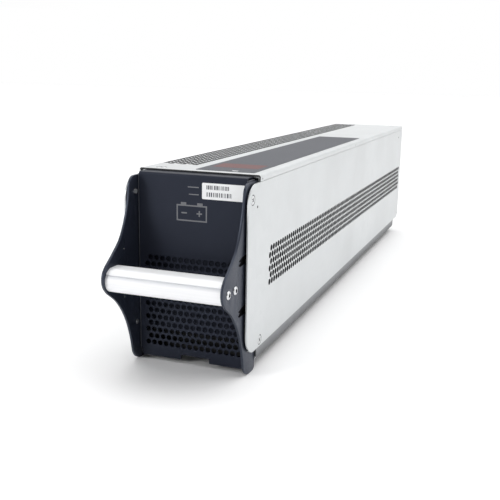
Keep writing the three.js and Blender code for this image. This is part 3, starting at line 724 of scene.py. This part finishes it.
def bottom_tray():
    wall = TRAY_WALL - TRAY_BOTTOM - TRAY_BEND
    fold = Fold((TRAY_X, TRAY_WALL), -90).line(wall).bend(TRAY_BEND, 90, 8)
    fold.line(2 * (TRAY_X - TRAY_BEND)).bend(TRAY_BEND, 90, 8).line(wall)
    corners = [(0, TRAY_FRONT, TRAY_CORNER), (fold.length, TRAY_FRONT, TRAY_CORNER),
               (fold.length, TRAY_REAR, TRAY_CORNER), (0, TRAY_REAR, TRAY_CORNER)]
    y, z = LOWER_SCREW
    holes = [ring((s, y), TRAY_HOLE, SHANK_STEPS)
             for s in (TRAY_WALL - z, fold.length - TRAY_WALL + z)]
    bm = sheet_mesh(rounded(corners, 5), holes, fold, across_x(), SHEET)
    # The tray's hole walls take the near-white finish, which is painted light.
    finish_mesh("bottom_tray_folded", bm, (TRAY_STEEL_PAINTED_SHADE, TRAY_EDGE_PAINTED_LIGHT),
                stands_for=("bottom_tray",))


bottom_tray()

# ------------------------------------------------------------------ front panel

PANEL_FACE, PANEL_REAR = -13.5, 1.2
PANEL_HALF = 50.7
PANEL_BOTTOM = -5.7
PANEL_TOP = 158.5
PANEL_BEND = 1.9
SIDE_FOLD = 1.3
FLANGE_LOW, FLANGE_HIGH = 0.2, 156.5
FOOT_HALF, FOOT_STEP = 47.5, 5.7
# The flange under the cover ends at FLANGE_REAR; a narrower tab with a screw hole runs on from it.
FLANGE_REAR, TAB_LENGTH, TAB_HALF, TAB_HOLE = 1.5, 15.5, 43.5, 8.9
FLOOR_LIP_HALF, FLOOR_LIP_LENGTH = 46, 13
GRILLE_LEFT, GRILLE_LOW = -42.1, 7.0
GRILLE_PITCH, GRILLE_ROW = 5.75, 5.96
GRILLE_RADIUS = 2.42
GRILLE_COLUMNS, GRILLE_ROWS = 16, 14
NOTCH_CENTRE, NOTCH_WIDTH, NOTCH_TOP = 3, 27, -1.2
# The dark strip over the tray's front edge is painted shade.
SHADE_STRIP_HALF = 51.2
SHADE_STRIP_FRONT, SHADE_STRIP_INNER, SHADE_STRIP_REAR = 0.5, 1.15, 2.5
SHADE_STRIP_GAP, SHADE_STRIP_THICKNESS, SHADE_STRIP_SLOPE = 0.05, 0.5, (0.4, 0.3)


def grille_centres():
    for row in range(GRILLE_ROWS):
        offset = GRILLE_PITCH / 2 if row % 2 else 0
        for column in range(GRILLE_COLUMNS):
            yield GRILLE_LOW + GRILLE_ROW * row, GRILLE_LEFT + offset + GRILLE_PITCH * column


def tray_edge_painted_shade():
    """A dark strip over the front edge of the tray's floor, behind the front panel: painted shade
    that keeps the tray's edge dark behind the grille.
    """
    bm = bmesh.new()
    low = TRAY_BOTTOM + SHADE_STRIP_GAP
    high = TRAY_BOTTOM + SHEET + SHADE_STRIP_GAP
    top = high + SHADE_STRIP_THICKNESS
    section = [(SHADE_STRIP_FRONT, low), (SHADE_STRIP_INNER, low), (SHADE_STRIP_INNER, high), (SHADE_STRIP_REAR, high),
               (SHADE_STRIP_REAR, top), (SHADE_STRIP_FRONT + SHADE_STRIP_SLOPE[0], top),
               (SHADE_STRIP_FRONT, top - SHADE_STRIP_SLOPE[1])]
    prism(bm, section, across_y, -SHADE_STRIP_HALF, SHADE_STRIP_HALF)
    finish_mesh("tray_edge_painted_shade", bm, INSULATOR)


tray_edge_painted_shade()


def front_panel():
    """The panel with its grille and notched foot, and the flange and tab under the cover."""
    rise = PANEL_TOP - PANEL_BEND - PANEL_BOTTOM
    fold = Fold((PANEL_FACE, PANEL_BOTTOM), 90).line(rise).bend(PANEL_BEND, 90, 8)
    flange_end = fold.length + FLANGE_REAR - PANEL_FACE - PANEL_BEND
    edge = PANEL_HALF - SIDE_FOLD
    tab_end = flange_end + TAB_LENGTH
    fold.line(tab_end - fold.length)
    round_off = SHARP_CORNER
    slant = FOOT_HALF + round_off
    left, right = NOTCH_CENTRE - NOTCH_WIDTH / 2, NOTCH_CENTRE + NOTCH_WIDTH / 2
    notch = NOTCH_TOP - PANEL_BOTTOM
    corners = [
        (FOOT_STEP, -edge, 0), (FOOT_STEP, -slant, round_off), (0, -FOOT_HALF, round_off),
        (0, left, 0.5), (notch, left, round_off), (notch, right, round_off), (0, right, 0.5),
        (0, FOOT_HALF, round_off), (FOOT_STEP, slant, round_off), (FOOT_STEP, edge, 0),
        (flange_end, edge, round_off), (flange_end, TAB_HALF, 0), (tab_end, TAB_HALF, 1),
        (tab_end, -TAB_HALF, 1), (flange_end, -TAB_HALF, 0), (flange_end, -edge, round_off),
    ]
    holes = [ring((z - PANEL_BOTTOM, x), GRILLE_RADIUS, 16) for z, x in grille_centres()]
    holes.append(ring((flange_end + TAB_HOLE, COVER_SCREWS[0][0]), SHANK_HOLE, SHANK_STEPS))
    bm = sheet_mesh(rounded(corners, 5), holes, fold, across_y, SHEET)
    finish_mesh("front_panel_grille", bm, (PAINT, PAINT),
                stands_for=("front_panel",))


def panel_floor_lip():
    """The lip that turns back from the foot of the panel, at the height of the notch's top."""
    back = Fold((PANEL_REAR, NOTCH_TOP), 180).line(FLOOR_LIP_LENGTH)
    strip = rounded([(0, -FLOOR_LIP_HALF, 1), (FLOOR_LIP_LENGTH, -FLOOR_LIP_HALF, 0),
                     (FLOOR_LIP_LENGTH, FLOOR_LIP_HALF, 0), (0, FLOOR_LIP_HALF, 1)], 4)
    bm = sheet_mesh(strip, [], back, across_y, SHEET)
    finish_mesh("panel_floor_lip", bm, (PAINT, PAINT))


def panel_side_flange(side, sign):
    """The panel's side, which turns back round a small bend; its section is in (x, y)."""
    x, y = PANEL_HALF - SIDE_FOLD, PANEL_FACE + SIDE_FOLD
    loop = [(PANEL_HALF - SHEET, PANEL_REAR), (PANEL_HALF - SHEET, y), (x, PANEL_FACE + SHEET),
            (x, PANEL_FACE)]
    loop += arc_points((x, y), SIDE_FOLD, -math.pi / 2, 0, 8)[1:] + [(PANEL_HALF, PANEL_REAR)]
    bm = bmesh.new()
    prism(bm, loop, lambda a, b, depth: place(sign * a, b, depth), FLANGE_LOW, FLANGE_HIGH)
    # The fold takes the lighter paint, a painted highlight along its bend.
    finish_mesh(f"panel_side_flange_{side}", bm, FOLD_PAINT_PAINTED_HIGHLIGHT)


front_panel()
panel_floor_lip()
for side, sign in SIDES:
    panel_side_flange(side, sign)

# ------------------------------------------------------------------ ears and handle

# Outlines of the ears are in (y, z).
EAR_INNER, EAR_OUTER = 51, 53
EAR_TOP, EAR_BOTTOM, EAR_REAR, EAR_HEEL = 155.5, -9.5, 14, 1
EAR_TOP_CENTRE, EAR_TOP_RADIUS = -18, 9.5
EAR_STEP_UPPER, EAR_STEP_LOWER = 14, 8
EAR_HEEL_RADIUS = 4
EAR_BROW = ((-29.5, 134), (-35, 119), (-43.5, 105), (-56, 94.5), (-66.5, 87))
EAR_NOSE = ((-66.5, 87), (-71, 82), (-72.5, 75.5), (-70.5, 69), (-65, 63))
EAR_THROAT = ((-65, 63), (-52.5, 54), (-42, 42.5), (-34, 29.5), (-28, 14), (-24.5, 0))
EAR_TOE = ((-24.5, 0), (-20.5, EAR_BOTTOM), (-10, EAR_BOTTOM))
EAR_TOE_STEPS = 7
EAR_EDGE = 0.3
HANDLE_SCREWS = (-61.2, -46.6)
HANDLE_SCREW_Z = 73.6
POCKETS, POCKET_DEPTH = (93.6, 51.3), 1.5
POCKET_OUTLINE = ((-22, -2.4), (-22, 4.6), (-30, 4.2), (-38.5, 2.6), (-39, 1.7), (-35.5, 0.6),
                  (-39.2, -1.2), (-38.8, -2.2), (-36, -3.2), (-30, -2.8))
PINHOLES, PINHOLE_RADIUS = ((-38, 95.8), (-38, 53.5)), 0.6
RIVET, RIVET_HOLE = (-17.5, 25.5), 1.1
# Turned profiles are (radius, height) pairs, with height 0 at the face that the piece sits on.
RIVET_PROFILE = ((0, -1.9), (1.0, -1.9), (1.0, 0.02), (2.3, 0.02), (2.3, 0.3), (1.8, 0.8),
                 (0.9, 1.1), (0, 1.15))


def ear_outline():
    """The ear from its rear edge over the top, round the nose to the foot and the heel."""
    points = [(EAR_REAR, EAR_STEP_UPPER), (EAR_REAR, EAR_TOP)]
    points += arc_points((EAR_TOP_CENTRE, EAR_TOP - EAR_TOP_RADIUS), EAR_TOP_RADIUS, math.pi / 2,
                         math.pi, 10)
    points += spline([points[-1], *EAR_BROW])[1:]
    points += spline(EAR_NOSE)[1:]
    points += spline(EAR_THROAT)[1:]
    start, control, end = EAR_TOE
    for i in range(1, EAR_TOE_STEPS + 1):
        t = i / EAR_TOE_STEPS
        points.append(tuple((1 - t) ** 2 * start[k] + 2 * t * (1 - t) * control[k] + t * t * end[k]
                            for k in (0, 1)))
    points += arc_points((EAR_HEEL - EAR_HEEL_RADIUS, EAR_BOTTOM + EAR_HEEL_RADIUS),
                         EAR_HEEL_RADIUS, -math.pi / 2, 0, 8)
    points.append((EAR_HEEL, EAR_STEP_LOWER))
    return points


def ear(side, sign):
    """An ear with its screw holes, and with shallow pockets in its outer face."""
    bm = bmesh.new()
    prism(bm, ear_outline(), side_on(sign), EAR_INNER, EAR_OUTER)
    # The ears' paint carries painted shade in its darker base colour.
    piece = finish_mesh(f"handle_ear_{side}_shaped", bm, EAR_PAINT_PAINTED_SHADE,
                        stands_for=(f"handle_ear_{side}",))

    def pockets(tool):
        for z in POCKETS:
            outline = [(y, z + rise) for y, rise in POCKET_OUTLINE]
            prism(tool, outline, side_on(sign), EAR_OUTER - POCKET_DEPTH, EAR_OUTER + 1)

    def drills(tool):
        holes = [(*RIVET, RIVET_HOLE), (*UPPER_SCREW, SHANK_HOLE), (*LOWER_SCREW, SHANK_HOLE)]
        holes += [(y, z, PINHOLE_RADIUS) for y, z in PINHOLES]
        holes += [(y, HANDLE_SCREW_Z, SHANK_HOLE) for y in HANDLE_SCREWS]
        for y, z, radius in holes:
            turned(tool, [(0, 0), (radius, 0), (radius, 6), (0, 6)], (sign, 0, 0),
                   place(sign * (EAR_INNER - 2), y, z), 20)

    carve(piece, drills, EAR_PAINT_PAINTED_SHADE)
    # The pockets are lined with the near-black painted shade.
    carve(piece, pockets, POCKET_PAINTED_SHADE)
    soften(piece, EAR_EDGE)


def ear_rivet(side, sign):
    """A domed rivet on the inner face of an ear, beside the front panel."""
    bm = bmesh.new()
    turned(bm, RIVET_PROFILE, (-sign, 0, 0), place(sign * EAR_INNER, *RIVET), 24)
    finish_mesh(f"ear_rivet_{side}", bm, DULL_ZINC)


for side, sign in SIDES:
    ear(side, sign)
    ear_rivet(side, sign)

BAR_LOW, BAR_HIGH = local_box("handle_bar")
# Where the groove lies on the bar's front round, in degrees from the rear over the top.
GROOVE_AT = 145
GROOVE_WIDTH, GROOVE_DEPTH = 1.5, 0.45
GROOVE_FLOOR = 0.4


def handle_bar():
    """A bar with half-round edges, with a fine groove along its upper front shoulder."""
    radius = (BAR_HIGH.z - BAR_LOW.z) / 2
    middle = (BAR_HIGH.z + BAR_LOW.z) / 2
    front, rear = BAR_LOW.y + radius, BAR_HIGH.y - radius
    loop = arc_points((rear, middle), radius, -math.pi / 2, math.pi / 2, 33)
    groove = math.radians(GROOVE_AT)
    half = GROOVE_WIDTH / radius / 2
    floor_half = half * GROOVE_FLOOR
    loop += arc_points((front, middle), radius, math.pi / 2, groove - half, 20)
    loop += arc_points((front, middle), radius - GROOVE_DEPTH, groove - floor_half,
                       groove + floor_half, 3)
    loop += arc_points((front, middle), radius, groove + half, 3 * math.pi / 2, 26)
    bm = bmesh.new()
    prism(bm, loop, across_y, BAR_LOW.x, BAR_HIGH.x)
    finish_mesh("handle_bar_brushed", bm, BAR, stands_for=("handle_bar",))


handle_bar()

# ------------------------------------------------------------------ fasteners

SCREW_STEPS = 32
BUTTON_PROFILE = ((0, -9), (2, -9), (2, 0.05), (3.5, 0.05), (3.6, 0.2), (3.5, 0.55), (3.2, 0.9),
                  (2.7, 1.15), (2.2, 1.25), (0, 1.25))
HEX_RADIUS, HEX_FLOOR, HEX_TOP = 1.9, 0.3, 3
SHANK_RADIUS = 2
FLAT_HEAD = ((SHANK_RADIUS, -1.6), (3.75, -0.45), (3.9, -0.2), (3.85, -0.06), (3.5, -0.02),
             (0, -0.02))
CROSS_REACH, CROSS_HALF, CROSS_FLOOR = 2.1, 0.45, -0.9
SIDE_SCREW_LENGTH, COVER_SCREW_LENGTH = 6, 4.2
COVER_SCREW_NAMES = ("cover_screw_front", "cover_screw_rear_left", "cover_screw_rear_right")


def handle_screw(side, sign, index, y):
    """A button-head screw with a washer face and a hexagonal socket."""
    origin = place(sign * EAR_OUTER, y, HANDLE_SCREW_Z)
    bm = bmesh.new()
    turned(bm, BUTTON_PROFILE, (sign, 0, 0), origin, SCREW_STEPS)
    piece = finish_mesh(f"handle_screw_{side}_{index}_head", bm, ZINC,
                        stands_for=(f"handle_screw_{side}_{index}",))

    def socket(tool):
        loop = ring((origin.y, origin.z), HEX_RADIUS * MM, 6, math.pi / 6)
        prism(tool, loop, lambda a, b, depth: Vector((sign * depth * MM, a, b)),
              EAR_OUTER + HEX_FLOOR, EAR_OUTER + HEX_TOP)

    # The socket is lined with the near-black finish, painted shade.
    carve(piece, socket, CUT_EDGE_AND_PAINTED_SHADE)


def flat_screw(name, axis, origin, length):
    """A flush screw whose head shows as a ring with a cross recess."""
    bm = bmesh.new()
    turned(bm, [(0, -length), (SHANK_RADIUS, -length), *FLAT_HEAD], axis, origin, SCREW_STEPS)
    piece = finish_mesh(name + "_head", bm, ZINC, stands_for=(name,))
    turn = Vector((0, 0, 1)).rotation_difference(Vector(axis))

    def at_head(a, b, depth):
        return origin + turn @ Vector((a * MM, b * MM, depth * MM))

    def cross(tool):
        bar = ((-CROSS_REACH, -CROSS_HALF), (CROSS_REACH, -CROSS_HALF), (CROSS_REACH, CROSS_HALF),
               (-CROSS_REACH, CROSS_HALF))
        for angle in (math.pi / 4, -math.pi / 4):
            c, s = math.cos(angle), math.sin(angle)
            prism(tool, [(c * a - s * b, s * a + c * b) for a, b in bar], at_head, CROSS_FLOOR, 1)

    # The cross recess is lined with the near-black finish, painted shade.
    carve(piece, cross, CUT_EDGE_AND_PAINTED_SHADE)


for side, sign in SIDES:
    for index, y in enumerate(HANDLE_SCREWS, 1):
        handle_screw(side, sign, index, y)

for side, sign in SIDES:
    for level, (y, z) in (("upper", UPPER_SCREW), ("lower", LOWER_SCREW)):
        flat_screw(f"side_screw_{side}_{level}", (sign, 0, 0), place(sign * SIDE_X, y, z),
                   SIDE_SCREW_LENGTH)

for name, (x, y) in zip(COVER_SCREW_NAMES, COVER_SCREWS):
    flat_screw(name, (0, 0, 1), place(x, y, HEIGHT), COVER_SCREW_LENGTH)

# ------------------------------------------------------------------ labels and print

# Thicknesses of the label films and of the print on them.
FILM = 0.25
INK = 0.04


def film(node, low, high, to_world, look, radius):
    """A label of the CAD node's size, with rounded corners; it stands for the node."""
    corners = [(low[0], low[1], radius), (high[0], low[1], radius), (high[0], high[1], radius),
               (low[0], high[1], radius)]
    bm = bmesh.new()
    prism(bm, rounded(corners, 5), to_world, 0, FILM)
    finish_mesh(node + "_film", bm, look, stands_for=(node,))


def on_panel(a, b, depth):
    return place(a, PANEL_FACE - depth, b)


def on_top(a, b, depth):
    return place(a, b, HEIGHT + depth)


LABEL_LOW, LABEL_HIGH = local_box("front_label")
TOP_LABEL_LOW, TOP_LABEL_HIGH = local_box("top_label")
film("front_label", LABEL_LOW.xz, LABEL_HIGH.xz, on_panel, WHITE_FILM, 1.0)
film("top_label", TOP_LABEL_LOW.xy, TOP_LABEL_HIGH.xy, on_top, GREY_FILM, 1.5)


def bars(name, boxes, to_world, look, base):
    """Printed bars as one thin piece on a base: each box is (low a, high a, low b, high b)."""
    bm = bmesh.new()
    for a0, a1, b0, b1 in boxes:
        prism(bm, [(a0, b0), (a1, b0), (a1, b1), (a0, b1)], to_world, base, base + INK)
    finish_mesh(name, bm, look)


BAR_WIDTHS, BAR_GAPS = (0.35, 0.5, 0.8, 1.1), (0.35, 0.5, 0.7, 1.0)
# Each row of bars on the front label, from start to end in x, with its low and high z.
BAR_ROWS = ((13.5, 33.5, 147.2, 150.6), (13.5, 36, 141.2, 144.8))
CAPTIONS = ((-3.6, 6.4, 147.7, 148.6), (-2.6, 6.4, 141.6, 142.5))
TOP_BAND, TOP_MARK = (-2, 41, 34, 62), (25.2, 30.4, 12.5, 15.5)


def bar_row(chance, start, end, low, high):
    """Bars of random widths that code nothing."""
    boxes = []
    at = start
    while at < end:
        width = chance.choice(BAR_WIDTHS)
        boxes.append((at, min(at + width, end), low, high))
        at += width + chance.choice(BAR_GAPS)
    return boxes


chance = random.Random(7)
label_bars = [box for row in BAR_ROWS for box in bar_row(chance, *row)]
bars("front_label_bars", label_bars, on_panel, DARK_INK, FILM)
bars("caption_bars", CAPTIONS, on_panel, GREY_INK, 0)

# A plain battery pictogram: a case outline, two posts, and a minus and a plus sign.
PICTOGRAM = (
    (-14, 14, 119, 120.2), (-14, 14, 131.8, 133), (-14, -12.8, 120.2, 131.8),
    (12.8, 14, 120.2, 131.8), (-10, -5, 133, 135), (5, 10, 133, 135), (-9.5, -4.5, 125.4, 126.6),
    (4.5, 9.5, 125.4, 126.6), (6.4, 7.6, 123.5, 125.4), (6.4, 7.6, 126.6, 128.5),
)
bars("battery_pictogram", PICTOGRAM, on_panel, GREY_INK, 0)
bars("top_label_band", [TOP_BAND], on_top, RED_INK, FILM)
bars("top_label_mark", [TOP_MARK], on_top, WHITE_FILM, FILM)

# ------------------------------------------------------------------ inside and rear

BLOCKS, LINKS, REAR_SCREWS = 8, 7, 4
# Edge radii of the pieces that keep their CAD shape.
EDGE_WIDTHS = [(f"battery_block_{index}", 0.8) for index in range(1, BLOCKS + 1)]
EDGE_WIDTHS += [(f"block_link_{index}", 0.5) for index in range(1, LINKS + 1)]
EDGE_WIDTHS += [("connector_shell", 0.5), ("power_contact_positive", 0.35),
                ("power_contact_negative", 0.35), ("rear_panel", 0.25), ("fuse_holder", 0.5),
                ("monitor_board", 0.2), ("end_bracket", 0.25)]
for node, width in EDGE_WIDTHS:
    refined(node, width)
refined("front_baffle", 0.25, PAINT)
for side in ("left", "right"):
    refined(f"layer_spacer_{side}", 0.4)
    refined(f"shoulder_screw_{side}", 0.25)
for index in range(1, REAR_SCREWS + 1):
    refined(f"rear_screw_{index}", 0.15)

# CAD pieces that show as they are, with a detailed material.
KEPT_NODES = ("base_pad", "top_pad", "lead_negative", "lead_positive", "lead_fused", "fuse",
              "board_post_1", "board_post_2")
for node in KEPT_NODES:
    for holder in frame["nodes"][node].material_slots:
        holder.material = SLOT_LOOKS[NODE_SLOT[node]]

# ------------------------------------------------------------------ studio

FLOOR_HALF = 9
KEY_POWER = 9
FILL_POWER = 22
OVERHEAD_STRENGTH = 1.9
# The overhead sun's width, and its tilt about X and Y, in degrees.
OVERHEAD_SPREAD = 80
OVERHEAD_TILT = (-8, 6)
# The world goes from dim to bright towards one side, and white close above the horizon.
WORLD_BRIGHT_SIDE = (0.2, 0.97, 0.1)
WORLD_DIM, WORLD_BRIGHT = 0.12, 1.0
WORLD_FADE = (-0.7, 0.75)
HORIZON_FADE = (0.16, 0.07)


def floor():
    bm = bmesh.new()
    corners = [(-FLOOR_HALF, -FLOOR_HALF), (FLOOR_HALF, -FLOOR_HALF), (FLOOR_HALF, FLOOR_HALF),
               (-FLOOR_HALF, FLOOR_HALF)]
    bm.faces.new([bm.verts.new((a, b, 0)) for a, b in corners])
    mesh = bpy.data.meshes.new("floor")
    bm.to_mesh(mesh)
    bm.free()
    mesh.materials.append(pale_floor())
    ground = bpy.data.objects.new("floor", mesh)
    bpy.context.scene.collection.objects.link(ground)


def soft_light(name, spot, aim, size, power):
    lamp = bpy.data.lights.new(name, "AREA")
    lamp.shape = "RECTANGLE"
    lamp.size, lamp.size_y = size, size
    lamp.energy = power
    holder = bpy.data.objects.new(name, lamp)
    holder.location = spot
    holder.rotation_euler = (Vector(aim) - Vector(spot)).to_track_quat("-Z", "Y").to_euler()
    bpy.context.scene.collection.objects.link(holder)


def overhead_light():
    """A sun as wide as most of the sky, almost straight above."""
    lamp = bpy.data.lights.new("overhead", "SUN")
    lamp.energy = OVERHEAD_STRENGTH
    lamp.angle = math.radians(OVERHEAD_SPREAD)
    holder = bpy.data.objects.new("overhead", lamp)
    holder.rotation_euler = (*(math.radians(tilt) for tilt in OVERHEAD_TILT), 0)
    bpy.context.scene.collection.objects.link(holder)


def studio_world():
    """White at the horizon and towards the back, and dimmer above where the front panel looks."""
    world = bpy.data.worlds.new("studio")
    world.use_nodes = True
    nodes, links = world.node_tree.nodes, world.node_tree.links
    toward = nodes.new("ShaderNodeVectorMath")
    toward.operation = "DOT_PRODUCT"
    toward.inputs[1].default_value = WORLD_BRIGHT_SIDE
    links.new(nodes.new("ShaderNodeTexCoord").outputs["Generated"], toward.inputs[0])
    strength = nodes.new("ShaderNodeMapRange")
    strength.interpolation_type = "SMOOTHSTEP"
    strength.inputs["From Min"].default_value = WORLD_FADE[0]
    strength.inputs["From Max"].default_value = WORLD_FADE[1]
    strength.inputs["To Min"].default_value = WORLD_DIM
    strength.inputs["To Max"].default_value = WORLD_BRIGHT
    links.new(toward.outputs["Value"], strength.inputs["Value"])
    height = nodes.new("ShaderNodeSeparateXYZ")
    links.new(toward.inputs[0].links[0].from_socket, height.inputs["Vector"])
    horizon = nodes.new("ShaderNodeMapRange")
    horizon.inputs["From Min"].default_value = HORIZON_FADE[0]
    horizon.inputs["From Max"].default_value = HORIZON_FADE[1]
    links.new(height.outputs["Z"], horizon.inputs["Value"])
    brighter = nodes.new("ShaderNodeMath")
    brighter.operation = "MAXIMUM"
    links.new(strength.outputs["Result"], brighter.inputs[0])
    links.new(horizon.outputs["Result"], brighter.inputs[1])
    background = nodes["Background"]
    background.inputs["Color"].default_value = (1, 1, 1, 1)
    links.new(brighter.outputs["Value"], background.inputs["Strength"])
    bpy.context.scene.world = world


floor()
soft_light("key_right", (2.4, 0.7, 1.1), (0.05, 0, 0.08), 1.8, KEY_POWER)
soft_light("front_fill", (-1.5, -2.1, 1.0), (0, -0.35, 0.08), 0.8, FILL_POWER)
overhead_light()
studio_world()
bpy.context.scene.view_settings.view_transform = "Standard"

# ------------------------------------------------------------------ camera

CAMERA_PLACE = (264.6, -586.4, 242.0)
# Azimuth, elevation and roll, in degrees.
CAMERA_ANGLES = (20.3, 13.12, 1.04)
LENS, SENSOR = 54.91, 36
CLIP_START = 0.02


def camera():
    azimuth, elevation, roll = (math.radians(angle) for angle in CAMERA_ANGLES)
    back = Vector((math.sin(azimuth) * math.cos(elevation),
                   -math.cos(azimuth) * math.cos(elevation), math.sin(elevation)))
    right = (-back).cross(Vector((0, 0, 1))).normalized()
    up = back.cross(right)
    rolled_right = right * math.cos(roll) + up * math.sin(roll)
    rolled_up = up * math.cos(roll) - right * math.sin(roll)
    data = bpy.data.cameras.new("camera")
    data.lens = LENS
    data.sensor_width = SENSOR
    data.clip_start = CLIP_START
    holder = bpy.data.objects.new("camera", data)
    turn = Matrix((rolled_right, rolled_up, back)).transposed()
    holder.matrix_world = Matrix.Translation(place(*CAMERA_PLACE)) @ turn.to_4x4()
    bpy.context.scene.collection.objects.link(holder)
    bpy.context.scene.camera = holder


camera()
